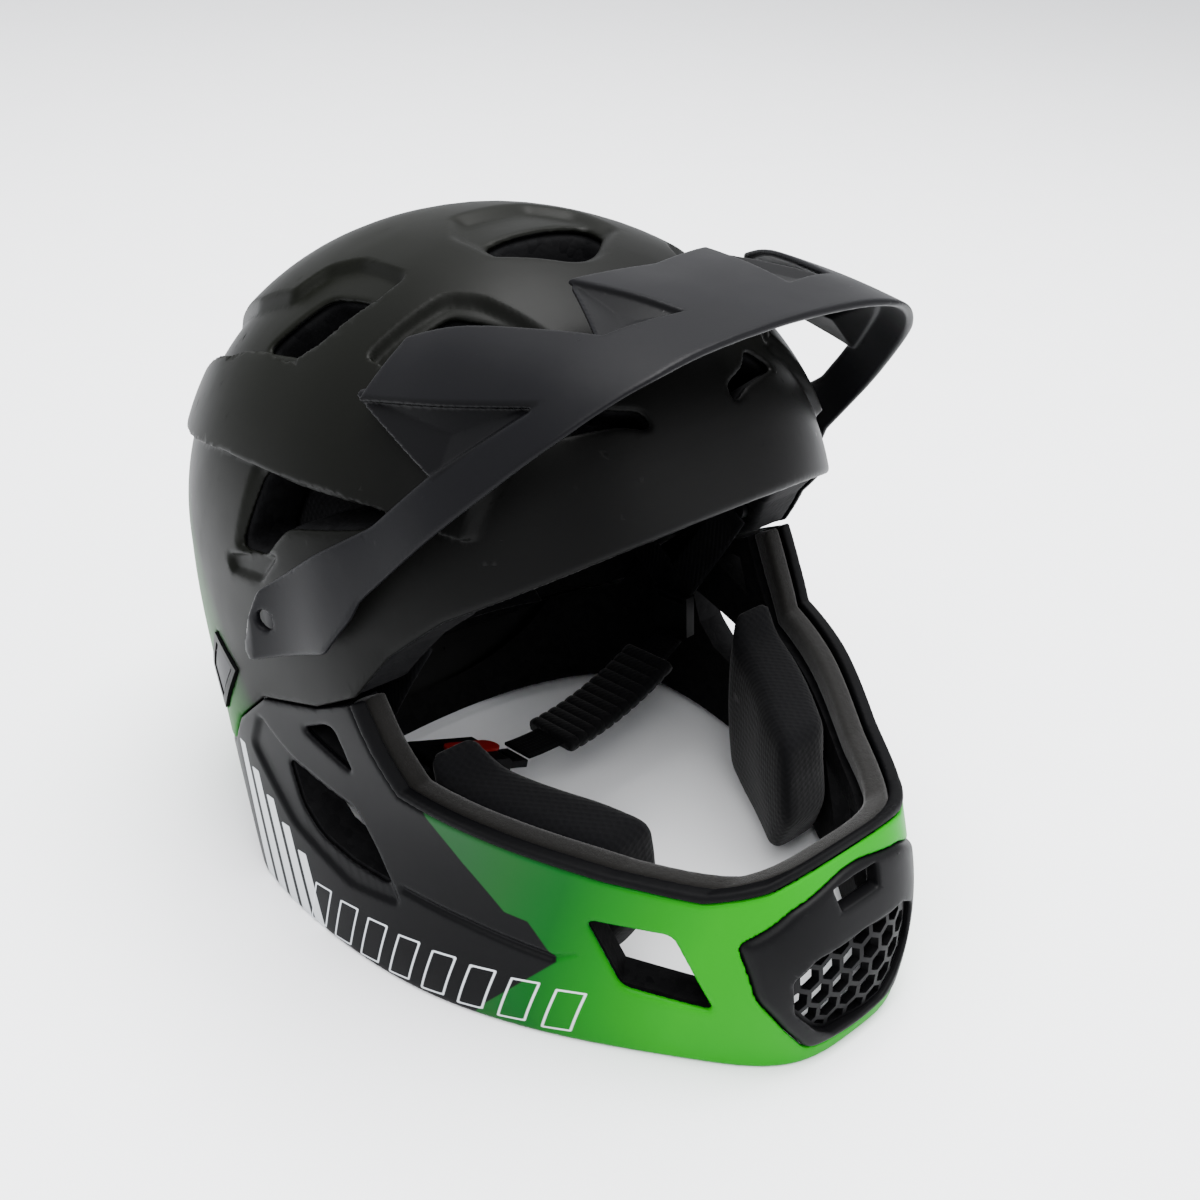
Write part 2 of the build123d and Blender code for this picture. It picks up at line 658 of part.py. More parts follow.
def make_divider(side):
    place = Pos(side * (strap_plane - divider_wall / 4), junction()[0], junction()[1])
    plate = Box(divider_wall, divider_size, divider_size - strap_wall)
    slot = Pos(0, 0, divider_size / 3) * Box(2 * divider_wall, divider_slot, strap_wall)
    return place * (plate - slot)


def make_anchors():
    anchors = Part()
    for side in (-1, 1):
        for y, z in ((front_anchor_y, front_anchor_z), (rear_anchor_y, rear_anchor_z)):
            start = strap_plane + strap_wall / 2 + pad_gap / 3
            face = Plane.YZ.offset(side * start) * Pos(y, z) * Circle(anchor_radius)
            anchors += extrude(face, amount=side * half_width / 2)
    return anchors & body(-crown_thickness - pad_gap)


# Height of the hanging strap at one place across
def hang(x):
    share = x / strap_span
    return strap_low_z + strap_rise * share * share


def hanging_band(start, end, width, wall):
    xs = [start + (end - start) * i / strap_steps for i in range(strap_steps + 1)]
    top = [(x, hang(x) + wall / 2) for x in xs]
    low = [(x, hang(x) - wall / 2) for x in xs]
    edges = [Spline(*top), Line(top[-1], low[-1]), Spline(*low), Line(low[0], top[0])]
    face = Plane.XZ.offset(-strap_middle_y) * make_face(Wire(edges))
    return extrude(face, amount=width / 2, both=True)


def make_sleeve():
    outside = hanging_band(sleeve_from, sleeve_to, sleeve_width, sleeve_wall)
    return outside - hanging_band(sleeve_from - sleeve_overrun, sleeve_to + sleeve_overrun,
                                  strap_width + sleeve_overrun, strap_wall + pad_gap)


def buckle_place():
    return Pos(buckle_x, strap_middle_y, hang(buckle_x)) * Rot(0, buckle_turn, 0)


# Where the short strap meets the turned buckle
def buckle_near_end():
    return buckle_x - buckle_length / 2 * math.cos(math.radians(buckle_turn)) - pad_gap / 3


# Where the long strap meets the buckle's tongue
def tongue_end():
    reach = tongue_length - buckle_length / 2 + 3 * buckle_wall + pad_gap
    return buckle_x + reach * math.cos(math.radians(buckle_turn))


def make_buckle():
    block = Box(buckle_length, buckle_width, buckle_height)
    block = fillet(block.edges().filter_by(Axis.Y), buckle_wall)
    inside = tongue_width + 2 * tongue_gap
    channel = Pos(buckle_wall, 0, 0) * Box(buckle_length, inside, tongue_wall + 2 * tongue_gap)
    roof = Pos(0, 0, buckle_height / 2) * Box(catch_length + 2 * catch_gap, inside, buckle_height)
    return buckle_place() * (block - channel - roof)


def make_tongue():
    reach = buckle_length / 2 - buckle_wall
    tongue = Box(tongue_length, tongue_width, tongue_wall)
    for i in range(tooth_count):
        x = -tongue_length / 2 + tooth_pitch * (i + 1)
        tongue -= Pos(x, 0, tongue_wall / 2) * Rot(0, 45, 0) * Box(tooth_depth, tooth_width, tooth_depth)
    hole = Pos(tongue_length / 2 - 3 * buckle_wall, 0, 0) * Box(tongue_wall, tooth_width, 2 * tongue_wall)
    return buckle_place() * (Pos(tongue_length / 2 - reach + 2 * buckle_wall, 0, 0) * (tongue - hole))


def make_catch():
    place = Pos(0, 0, buckle_height / 2 - catch_wall / 2)
    plate = Box(catch_length, tongue_width - 2 * tongue_gap, catch_wall)
    return buckle_place() * (place * plate)


def make_tab():
    place = Pos(tab_length / 4, 0, buckle_height / 2 + catch_gap)
    loop = extrude(SlotOverall(tab_length, tongue_width * tab_share), amount=tab_wall)
    return buckle_place() * (place * loop)


if __name__ == "__main__":
    os.makedirs("parts", exist_ok=True)
    save(make_shell(), "shell_outer")
    save(make_liner(), "crown_liner")
    save(make_chin_bar(), "chin_bar_shell")
    save(make_chin_trim(), "chin_bar_edge_trim")
    save(make_chin_strip(), "chin_bar_felt_strip")
    save(make_chin_liner(), "chin_bar_liner")
    save(make_hooks(), "chin_bar_hooks")
    save(make_insert(), "chin_insert")
    save(make_mesh(), "chin_mesh")
    save(make_visor(), "visor")
    save(make_pegs(), "visor_pivot_pegs")
    pins = Part()
    for side, name in ((-1, "right"), (1, "left")):
        save(make_housing(side), "latch_housing_" + name)
        save(make_lever(side), "latch_lever_" + name)
        save(make_cheek(side), "cheek_pad_" + name)
        save(make_side_straps(side), "side_straps_" + name)
        save(make_divider(side), "strap_divider_" + name)
        pins += pin_body(side, pin_radius, pin_length)
    save(pins, "latch_pins")
    save(make_anchors(), "strap_anchors")
    save(pad_layer(side_prism(brow_pad_shares), crown_thickness, pad_thickness), "brow_pad")
    save(pad_layer(side_prism(side_pad_shares), crown_thickness, pad_thickness), "side_pads")
    crown = Pos(0, 0, dome_base_z) * top_prism(crown_pad_shares, jaw_reach)
    save(pad_layer(crown, crown_thickness, pad_thickness), "crown_pad")
    save(make_nape_pad(), "nape_pad")
    save(make_sleeve(), "chin_strap_sleeve")
    save(hanging_band(tongue_end(), strap_plane - divider_wall, strap_width, strap_wall), "chin_strap_left")
    near = hanging_band(divider_wall - strap_plane, buckle_near_end(), strap_width, strap_wall)
    save(near, "chin_strap_right")
    save(make_buckle(), "buckle_body")
    save(make_tongue(), "buckle_tongue")
    save(make_catch(), "buckle_catch")
    save(make_tab(), "buckle_pull_tab")
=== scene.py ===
import math
import bpy
import numpy as np
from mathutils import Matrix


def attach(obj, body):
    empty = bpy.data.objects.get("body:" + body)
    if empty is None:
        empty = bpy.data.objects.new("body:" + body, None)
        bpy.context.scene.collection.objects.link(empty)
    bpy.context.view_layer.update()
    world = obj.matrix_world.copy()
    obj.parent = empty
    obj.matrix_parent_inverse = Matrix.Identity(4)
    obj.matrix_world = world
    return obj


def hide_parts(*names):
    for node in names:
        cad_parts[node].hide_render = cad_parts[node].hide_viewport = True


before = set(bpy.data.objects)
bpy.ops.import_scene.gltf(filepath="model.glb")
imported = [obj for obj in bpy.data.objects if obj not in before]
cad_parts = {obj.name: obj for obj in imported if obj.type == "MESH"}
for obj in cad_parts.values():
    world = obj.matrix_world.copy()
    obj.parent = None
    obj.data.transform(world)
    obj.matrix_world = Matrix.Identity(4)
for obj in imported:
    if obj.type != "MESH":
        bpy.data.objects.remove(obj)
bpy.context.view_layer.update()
import openvdb as vdb
from mathutils import Matrix, Vector

bl_info = {
    "name": "Downhill full face helmet",
    "version": (1, 0, 0),
    "blender": (4, 5, 0),
    "location": "View3D > Sidebar > Helmet",
    "description": "Builds the visible pieces of a full face bicycle helmet over its packed model",
    "category": "Object",
}

MM = 0.001

# The upright pose of the helmet and the resting pose on the floor
REST_SLOPE = math.radians(7.18)
REST_HEIGHT = 25.73
REST_SHIFT = 27.77
REST_COS, REST_SIN = math.cos(REST_SLOPE), math.sin(REST_SLOPE)

# Main sizes of the body in millimetres
HALF_WIDTH = 112.4
FRONT_REACH = 122.9
REAR_REACH = 127.0
CENTRE_Y = -12.0
BASE_Z = 150.0
TOP_Z = 263.4
JAW = 190.0
SHELL_WALL = 2.6
RAISED = 3.5
CROWN_FOAM = 24.0
CHIN_WALL = 3.0
CHIN_FOAM = 13.0
FOAM_GAP = 0.3
FOAM_DROP = 1.0
FOAM_FOOT = 69.0
FRONT_POWER = 2.43
REAR_POWER = 2.2
RISE_POWER = 2.05
SEAM_GAP = 0.4
PART_GAP = 0.5

# Rises of the dome between its base and its top, and the steps that its curves are read at
DOME_RISES = (0.22, 0.42)
DOME_OVERRUN = 20
BASE_STEPS = 60
ARC_STEPS = 8
TURN_STEPS = 361
VISOR_STEPS = 241

# Roundings of edges, corners and slopes, from a hairline to a cushion
HAIR, CRISP, THIN, TRIM, FINE, ROUND = 0.6, 1.0, 1.2, 1.5, 1.6, 2.0
OPEN, VENT, SOFT, FOAM, BROAD = 2.4, 2.6, 3.0, 4.0, 5.0

# Depths, bands and slopes of the shell, chin bar and pads, in millimetres
BEVEL_DEPTH = 1.5
FACET_DEPTH = 2.2
CHANNEL_SLOPE = 2.2
DIP_INSET = 3.0
DIP_SLOPE = 8.0
VENT_DEPTH = 30.0
VENT_REACH = 75.0
CHIN_TOP = 149
PANEL_DEPTH = 1.6
GROOVE_SHARE = 0.8
PORT_INSET = 3.6
INSERT_PROUD = 1.4
INSERT_DEPTH = 4.4
TRIM_BAND = (-0.1, 3.3)
TRIM_PROUD = 0.5
TRIM_DEPTH = 4.6
TRIM_EDGE = 1.4
FELT_BAND = (1.2, 10.2)
FELT_DEPTHS = (4.9, 13.9)
PAD_WALL = 9.0
PAD_CORNER = 6.0
CHEEK_WALL = 26
CHEEK_GAP = 0.6
CHEEK_EDGES = (7.0, 6.0, 8.0)
CHEEK_MIDDLE = 2

WHOLE = (-122.0, (-150.0, 132.0), (-4.0, 272.0), 0.9)
LOW = (-122.0, (-200.0, 64.0), (-12.0, 152.0), 0.8)
FRONT = (-50.0, (-200.0, -120.0), (-8.0, 84.0), 0.5)
SHADE = (-122.0, (-170.0, -6.0), (116.0, 276.0), 0.6)
INNER = (-100.0, (-140.0, 132.0), (10.0, 250.0), 1.2)
FAR = 60.0
OUTSIDE = 400

# Lower levels: height share, rear reach share, outline shares from front to side
LEVELS = [
    (-0.06, 0.22, [(0, 0.99), (0.24, 0.97), (0.44, 0.85), (0.69, 0.65), (0.85, 0.47), (0.97, 0.24),
                   (0.99, 0)]),
    (0.13, 0.36, [(0, 1.015), (0.27, 0.985), (0.49, 0.86), (0.75, 0.64), (0.90, 0.463), (0.99, 0.237),
                  (1, 0)]),
    (0.33, 0.52, [(0, 1.015), (0.30, 0.98), (0.53, 0.83), (0.765, 0.61), (0.907, 0.42), (0.988, 0.21),
                  (1.003, 0)]),
    (0.57, 0.73, [(0, 0.955), (0.32, 0.93), (0.58, 0.785), (0.79, 0.595), (0.916, 0.40), (0.983, 0.184),
                  (1.002, 0.016)]),
    (0.80, 0.93, [(0, 0.875), (0.37, 0.853), (0.66, 0.737), (0.863, 0.558), (0.943, 0.40), (0.988, 0.184),
                  (1, 0.042)]),
]

# Outlines seen from the side, as shares of the jaw reach and the dome base
RIM = [(-0.80, 1.228), (-0.69, 1.223), (-0.672, 1.207), (-0.621, 1.167), (-0.567, 1.127), (-0.493, 1.077),
       (-0.403, 0.98), (-0.332, 0.863), (-0.221, 0.793), (-0.047, 0.74), (0.063, 0.633),
       (0.126, 0.527), (0.253, 0.48), (0.274, 0.2)]
PORT = [(-0.335, 0.853), (-0.374, 0.753), (-0.416, 0.66), (-0.563, 0.607), (-0.742, 0.533),
        (-0.879, 0.50), (-0.942, 0.513), (-0.968, 0.535), (-1.10, 0.54)]
SHELL_FOOT = 0.045
SIDE_VENT = [(-0.077, 1.304), (-0.386, 1.293), (-0.350, 1.255), (-0.271, 1.235), (-0.177, 1.213),
             (-0.153, 1.188), (-0.114, 1.129), (-0.046, 1.120), (-0.028, 1.127)]
RIDGE = [(-0.524, 1.253), (-0.40, 1.30), (-0.272, 1.32), (-0.10, 1.32), (0.035, 1.32),
         (0.221, 1.29), (0.45, 1.265), (0.90, 1.20), (0.90, 1.90), (-0.48, 1.90)]
SIDE_BEVEL = [(-0.055, 1.318), (-0.09, 1.315), (-0.08, 1.12), (-0.02, 1.12)]
SIDE_FACET = [(0.015, 1.085), (0.006, 1.05), (-0.10, 1.066), (-0.15, 1.14), (-0.05, 1.11)]
CHIN_PANEL = [(-0.021, 0.68), (-0.116, 0.613), (-0.289, 0.553), (-0.326, 0.473), (-0.379, 0.33),
              (-0.258, 0.33), (-0.10, 0.42), (0.02, 0.58)]
SMALL_VENT = [(-0.168, 0.713), (-0.237, 0.753), (-0.263, 0.753), (-0.295, 0.653)]
LARGE_VENT = [(-0.10, 0.593), (-0.20, 0.56), (-0.284, 0.533), (-0.326, 0.44), (-0.353, 0.373),
              (-0.258, 0.393), (-0.174, 0.427), (-0.126, 0.487)]
GROOVE = [(-0.384, 0.385), (-0.52, 0.347), (-0.663, 0.30), (-0.70, 0.312), (-0.66, 0.285),
          (-0.52, 0.332), (-0.384, 0.370)]
LATCH = [(0.13, 0.833), (0.042, 0.773), (0.10, 0.68), (0.142, 0.613), (0.20, 0.70)]
CHEEK = [(-0.374, 0.70), (-0.416, 0.62), (-0.563, 0.565), (-0.674, 0.52), (-0.69, 0.30), (-0.62, 0.15),
         (-0.45, 0.17), (-0.374, 0.22)]
BROW_PAD = [(-0.80, 1.245), (-0.36, 1.03), (-0.36, 1.16), (-0.80, 1.38)]
SIDE_PAD = [(-0.22, 1.0), (0.20, 1.0), (0.20, 1.22), (-0.22, 1.22)]
CROWN_PAD = [(-0.16, -0.26), (0.16, -0.26), (0.16, 0.42), (-0.16, 0.42)]
NAPE_PAD = [(-0.52, 0.50), (0.52, 0.50), (0.44, 0.78), (-0.44, 0.78)]
INSERT = [(0, 0.475), (0.055, 0.472), (0.25, 0.44), (0.391, 0.38), (0.356, 0.235), (0.276, 0.135),
          (0.205, 0.062), (0, 0.055)]
MESH = [(0, 0.33), (0.20, 0.318), (0.276, 0.28), (0.267, 0.187), (0.187, 0.113), (0.125, 0.082),
        (0, 0.078)]
SLOT = [(0, 0.40), (0.085, 0.40), (0.10, 0.452), (0, 0.456)]

# Vents cut along an aimed line: place, aim in degrees, outline shares of a hundred millimetres
SPAN = 100.0
UPPER_AT = ((-74.0, -10.0, 240.0), (90.0, 46.0))
CROWN_AT = ((-58.0, -60.0, 244.0), (50.0, 55.0))
BROW_AT = ((-34.0, -110.0, 214.0), (20.0, 35.0))
REAR_AT = ((-52.0, 98.0, 190.0), (152.0, 28.0))
FRONT_AT = ((-63.0, -153.0, 46.0), (48.0, 0.0))
UPPER_VENT = [(-0.21, -0.14), (-0.055, 0.11), (0.17, 0.135), (0.105, -0.035), (0.03, -0.122)]
CROWN_VENT = [(0.015, 0.055), (-0.09, -0.035), (0.24, -0.04), (0.22, 0.0)]
TOP_RECESS = [(0, -0.68), (0.07, -0.665), (0.26, -0.50), (0.26, -0.28), (0.15, -0.12), (0, -0.12)]
TOP_VENT = [(0, -0.61), (0.08, -0.595), (0.20, -0.48), (0.20, -0.38), (0.08, -0.36), (0, -0.36)]
BROW_VENT = [(-0.17, 0.01), (0.045, 0.015), (0.15, -0.01), (0.133, 0.045), (0.0, 0.065), (-0.08, 0.11)]
REAR_VENT = [(-0.16, -0.10), (0.12, -0.14), (0.18, 0.06), (-0.08, 0.14)]
FRONT_VENT = [(-0.20, 0.14), (0.085, 0.12), (0.22, -0.16), (-0.085, -0.10)]

# Air channels in the foam: places to the side, half width, depth and lowest height
AIRWAYS = (28, 62)
AIRWAY_HALF = 5
AIRWAY_DEPTH = 6
AIRWAY_FOOT = 175

# Sunken channels of the crown seen from above, in millimetres on the right side
REAR_CHANNEL = [(-18, 102), (-34, 98), (-56, 74), (-66, 40), (-66.5, 15), (-55, 7.4), (-50, -6), (-51, -32),
                (-61, -31), (-79, -21), (-86, -12), (-84.5, 5), (-84.5, 30), (-78, 62), (-63, 92), (-45, 105),
                (-29, 160), (-18, 160)]
FRONT_CHANNEL = [(3, -101), (-24, -99), (-36, -87), (-44, -62), (-50.5, -52.4), (-59, -50), (-77, -44.4),
                 (-75.6, -56), (-70, -76), (-56, -96), (-40, -140), (3, -140)]

# Visor arches: place along the length, half outline of the outer face
VISOR_WALL = 2.6
ARCHES = [
    (-0.86, [(0, 1.664), (0.25, 1.656), (0.44, 1.635), (0.57, 1.585), (0.66, 1.50), (0.73, 1.35)]),
    (-0.742, [(0, 1.690), (0.27, 1.682), (0.45, 1.660), (0.62, 1.605), (0.72, 1.530), (0.83, 1.27)]),
    (-0.632, [(0, 1.713), (0.27, 1.707), (0.49, 1.675), (0.66, 1.617), (0.78, 1.510), (0.92, 1.12)]),
    (-0.526, [(0, 1.727), (0.27, 1.72), (0.49, 1.69), (0.67, 1.635), (0.80, 1.525), (0.965, 1.05)]),
    (-0.416, [(0, 1.737), (0.27, 1.73), (0.50, 1.70), (0.69, 1.635), (0.825, 1.51), (1.003, 0.92)]),
    (-0.316, [(0, 1.757), (0.27, 1.747), (0.52, 1.70), (0.70, 1.625), (0.835, 1.51), (1.012, 0.86)]),
    (-0.184, [(0, 1.80), (0.27, 1.785), (0.53, 1.73), (0.72, 1.64), (0.86, 1.51), (1.033, 0.84)]),
    (-0.042, [(0, 1.82), (0.27, 1.805), (0.53, 1.75), (0.73, 1.65), (0.92, 1.51), (1.15, 0.84)]),
]
VISOR_SIDE = [(-0.821, 1.72), (-0.813, 1.633), (-0.742, 1.533), (-0.632, 1.40), (-0.542, 1.293),
              (-0.416, 1.14), (-0.395, 1.093), (-0.321, 0.985), (-0.120, 0.895), (-0.097, 0.915),
              (-0.155, 1.08), (-0.30, 1.205), (-0.426, 1.30), (-0.532, 1.427), (-0.675, 1.572),
              (-0.316, 1.513), (-0.345, 1.62), (-0.345, 1.90), (-0.821, 1.90)]
VISOR_TOP = [(0, -0.511), (0.276, -0.474), (0.215, -0.70), (0.445, -0.668), (0.676, -0.345), (0.80, -0.316),
             (1.2, -0.316), (1.2, 0.2), (0, 0.2)]
VISOR_TOP_SHARE = 1.45
VISOR_CENTRE = 135.0
VISOR_OVERRUN = (4, 0.12)
WEB_DROP = 1.6
WEB_SLOPE = 0.25
WEB_DEEPEST = (12, 8)
WEB_WALL = 2.0
WEB_LAP = 1.0
VISOR_WEB = [(-0.302, 1.525), (-0.69, 1.59), (-0.545, 1.42)]
VISOR_WEB_TOP = [(0.27, -0.488), (0.205, -0.71), (0.46, -0.675)]
PIVOT = (-32.0, 152.0)
SHELL_BORE = 3.6
VISOR_BORE = 3.7

# Chin strap and its hang
STRAP_PLANE = 77.5
STRAP_SPAN = 87.2
STRAP_Y = -27.0
STRAP_LOW = 54.0
STRAP_RISE = 31.0
STRAP_WIDTH = 16.0
STRAP_STEPS = 24
RIB_STEPS = 12
QUILT = (0.72, 0.28, 0.5)
SIDE_STEPS = 16
SIDE_SAG = 1.2
STRAP_WALL = 1.6
FRONT_ANCHOR = (-60.0, 142.0)
REAR_ANCHOR = (24.0, 132.0)
DIVIDER = 20.0
DIVIDER_WALL = 4.6
DIVIDER_DROP = 8.0
SLEEVE = (4.0, 62.0, 26.0, 6.4)
BUCKLE_NEAR = -61.1
TONGUE_END = -13.5

# Cross section of a strap, in shares of its half width and half wall
TOP_HALF = [(-1, 0), (-0.97, 0.8), (-0.8, 1), (0, 1), (0.8, 1), (0.97, 0.8), (1, 0)]
SECTION = TOP_HALF + [(a, -b) for a, b in TOP_HALF[-2:0:-1]]

# Paint edges on the chin bar seen from the side, in millimetres
GREEN_EDGE = [(-84, 97), (-98, 75.5), (-110.7, 58.9), (-118, 56.8), (-127, 42.6), (-102.8, 18.7), (-80, -14),
              (-400, -60), (-400, 130)]
BARS = [[(16 - 9 * i, 84 - 8 * i), (11 - 9 * i, 84 - 8 * i), (-5 - 9 * i, -6 - i), (1.5 - 9 * i, -6 - i)]
        for i in range(5)]
MARKS = [[(-30 - 13.9 * i, 42 - 1.5 * i), (-38.6 - 13.9 * i, 42 - 1.5 * i), (-33 - 13.9 * i, 24 - 1.4 * i),
          (-24.4 - 13.9 * i, 24 - 1.4 * i)] for i in range(8)]

# Paint fades: direction, then the marks in millimetres where each starts and ends
LOW_GREEN = ((0, 0.80, -0.60), -66, -22)
DARK_CROWN = ((0, -1, -0.3), -80, 60)
BRIGHT_GREEN = ((0, -0.97, -0.24), 76, 108)
NEON_GREEN = ((0, -0.97, -0.24), 108, 150)
EDGE_SOFT = 0.25
BAR_SOFT = 0.2
# Soft edge in millimetres of the painted shade that darkens the visor webs
WEB_SHADE_SOFT = 0.4
MARK_LINE = 0.35
MARK_SOFT = 0.15

# Roughness ranges, and the shine and refraction of what is not metal
SATIN = (0.36, 0.46)
MATT = (0.42, 0.5)
SHINE = 0.06
REFRACTION = 1.5

# Size and height of the grain in paint, its clouds, and sizes of beads, fibres, knit and ribs, in millimetres
PAINT_GRAIN = (0.9, 0.02)
VISOR_GRAIN = (0.6, 0.04)
MOULD_HEIGHT = 0.04
GRAIN_STRENGTH = 0.35
CLOUD = 45.4545
CLOUD_ENDS = (0.3, 0.7)
KNIT_TURN = (0.6, 0.5, 0.78)
WAVE_TURN = 6.28
BEAD, FIBRE, KNIT, RIB, CROSS_RIB = 3.2, 1.4, 2.0, 1.5, 2.2

# Faces that look towards the head take a second finish: its height, and how far inwards they look
HEAD_HEIGHT = 110.0
INWARD = -0.35

# Studio: floor, light of the room, lamps with place, size and power, and where they aim
FLOOR_REACH = 9
ROOM_LIGHT = ("#f6f7fa", 1.45)
LAMPS = (("key", (-0.9, -0.5, 1.5), 1.2, 36), ("top", (0.3, 0.1, 1.9), 1.3, 125),
         ("front", (0.9, -1.5, 0.9), 1.2, 16))
LAMP_AIM = (0, 0, 0.1)

# The photograph's viewpoint in the upright pose: turn, lift and roll, distance and target, lens and sensor
VIEW_ANGLES = (-0.7265533, 0.4372408, -0.0353455)
VIEW_DISTANCE = 602.762
VIEW_TARGET = (28.1217, -33.7687, 109.8702)
FOCAL_SHARE = 1499.789 / 1200
SENSOR = 36.0
NEAREST = 0.01


# From the upright pose in millimetres to the resting pose in metres
def to_rest(points):
    x, y, z = points[:, 0], points[:, 1], points[:, 2]
    ahead = REST_COS * y + REST_SIN * z + REST_SHIFT
    return np.stack([x, ahead, -REST_SIN * y + REST_COS * z - REST_HEIGHT], axis=1) * MM


def turn_rest(v):
    return Vector((v[0], REST_COS * v[1] + REST_SIN * v[2], -REST_SIN * v[1] + REST_COS * v[2]))


# Shape fields: signed distances in millimetres on half of the helmet, negative inside
CELL = 1.0
GX = GY = GZ = None
fields = {}


def use_space(space):
    global CELL, GX, GY, GZ
    side, length, height, cell = space
    CELL = cell
    GX = -np.arange(int(-side / CELL), -1, -1, dtype=np.float32) * CELL
    GY = np.arange(length[0], length[1], CELL, dtype=np.float32)
    GZ = np.arange(height[0], height[1], CELL, dtype=np.float32)
    if fields.get("space") != space:
        fields.clear()
        fields["space"] = space


# Weights of a smooth curve through known places, for a list of wanted places
def curve_weights(known, wanted):
    n = len(known)
    a = np.zeros((n, n))
    b = np.zeros((n, n))
    a[0, 0] = a[-1, -1] = 1
    for i in range(1, n - 1):
        h0, h1 = known[i] - known[i - 1], known[i + 1] - known[i]
        a[i, i - 1:i + 2] = (h0, 2 * (h0 + h1), h1)
        b[i, i - 1:i + 2] = (6 / h0, -6 / h0 - 6 / h1, 6 / h1)
    bend = np.linalg.solve(a, b)
    wanted = np.asarray(wanted, dtype=float)
    k = np.clip(np.searchsorted(known, wanted) - 1, 0, n - 2)
    h = known[k + 1] - known[k]
    t = np.clip((wanted - known[k]) / h, -0.5, 1.5)
    eye = np.eye(n)
    one = eye[k] * (1 - t)[:, None] + eye[k + 1] * t[:, None]
    c0 = ((1 - t) ** 3 - (1 - t)) * h * h / 6
    c1 = (t ** 3 - t) * h * h / 6
    return one + bend[k] * c0[:, None] + bend[k + 1] * c1[:, None]


# Polar radius of a half outline about a centre, mirrored at the middle line
def polar_radius(angles, radii, wanted):
    known = np.concatenate([-angles[3:0:-1], angles, 2 * math.pi - angles[-2:-5:-1]])
    values = np.concatenate([radii[3:0:-1], radii, radii[-2:-5:-1]])
    return curve_weights(known, wanted) @ values


def base_radius(wanted):
    a = np.linspace(0, math.pi / 2, BASE_STEPS)
    x = HALF_WIDTH * np.sin(a) ** (2 / FRONT_POWER)
    y = -FRONT_REACH * np.cos(a) ** (2 / FRONT_POWER)
    b = a[1:]
    x = np.concatenate([x, HALF_WIDTH * np.abs(np.cos(b)) ** (2 / REAR_POWER)])
    y = np.concatenate([y, REAR_REACH * np.sin(b) ** (2 / REAR_POWER)])
    return np.interp(wanted, np.arctan2(x, -y), np.hypot(x, y))


def level_radius(row, wanted):
    x = [p[0] * HALF_WIDTH for p in row[2]]
    y = [-p[1] * JAW for p in row[2]]
    side_x, side_y = x[-1], y[-1]
    for i in range(1, ARC_STEPS + 1):
        b = i * math.pi / (2 * ARC_STEPS)
        x.append(side_x * abs(math.cos(b)) ** (2 / REAR_POWER))
        y.append(side_y + row[1] * REAR_REACH * math.sin(b) ** (2 / REAR_POWER))
    x, y = np.array(x), np.array(y) - CENTRE_Y
    x[-1] = 0
    return polar_radius(np.arctan2(x, -y), np.hypot(x, y), wanted)


# Distance to the smooth body of the helmet
def body_field():
    wanted = np.linspace(0, math.pi, TURN_STEPS)
    base = base_radius(wanted)
    rows = [level_radius(row, wanted) for row in LEVELS] + [base]
    heights = [row[0] * BASE_Z for row in LEVELS] + [BASE_Z]
    for rise in DOME_RISES:
        rows.append(base * (1 - rise ** RISE_POWER) ** (1 / RISE_POWER))
        heights.append(BASE_Z + rise * (TOP_Z - BASE_Z))
    weights = curve_weights(np.array(heights), np.minimum(GZ, BASE_Z + DOME_OVERRUN))
    table = weights @ np.array(rows)
    x, y = np.meshgrid(GX, GY - CENTRE_Y, indexing="ij")
    rho, phi = np.hypot(x, y), np.arctan2(np.abs(x), -y)
    f = np.empty((len(GX), len(GY), len(GZ)), dtype=np.float32)
    base_map = np.interp(phi, wanted, base)
    for k, z in enumerate(GZ):
        if z < BASE_Z:
            f[:, :, k] = rho / np.interp(phi, wanted, table[k]) - 1
        else:
            rise = (z - BASE_Z) / (TOP_Z - BASE_Z)
            f[:, :, k] = ((rho / base_map) ** RISE_POWER + rise ** RISE_POWER) ** (1 / RISE_POWER) - 1
    return true_distance(f)


def true_distance(f):
    slope = np.zeros_like(f)
    for axis in range(3):
        slope += np.gradient(f, CELL, axis=axis) ** 2
    return f / np.sqrt(slope + 1e-9)


# Corners of an outline rounded by a radius
def rounded(points, radius):
    if not radius:
        return points
    out = []
    n = len(points)
    for i in range(n):
        p, q, r = (np.array(points[(i + k) % n], dtype=float) for k in (-1, 0, 1))
        a, b = np.linalg.norm(p - q), np.linalg.norm(r - q)
        start = q + (p - q) * min(radius / a, 0.45)
        end = q + (r - q) * min(radius / b, 0.45)
        for t in (0, 0.25, 0.5, 0.75, 1):
            out.append(start * (1 - t) ** 2 + q * 2 * t * (1 - t) + end * t * t)
    return out


# Signed distance to a closed outline
def outline_field(points, a, b):
    best = np.full(np.broadcast(a, b).shape, 1e9, dtype=np.float32)
    inside = np.zeros(best.shape, dtype=bool)
    n = len(points)
    for i in range(n):
        (ax, ay), (bx, by) = points[i], points[(i + 1) % n]
        ex, ey = bx - ax, by - ay
        t = np.clip(((a - ax) * ex + (b - ay) * ey) / (ex * ex + ey * ey + 1e-12), 0, 1)
        best = np.minimum(best, (a - ax - t * ex) ** 2 + (b - ay - t * ey) ** 2)
        cross = ((ay > b) != (by > b)) & (a < (bx - ax) * (b - ay) / (by - ay + 1e-12) + ax)
        inside ^= cross
    d = np.sqrt(best)
    return np.where(inside, -d, d).astype(np.float32)


def above_field(points, radius=0.0):
    return outline_field(rounded(points, radius), GX[:, None], GY[None, :])[:, :, None]


def beside_field(points, radius=0.0):
    return outline_field(rounded(points, radius), GY[:, None], GZ[None, :])[None, :, :]


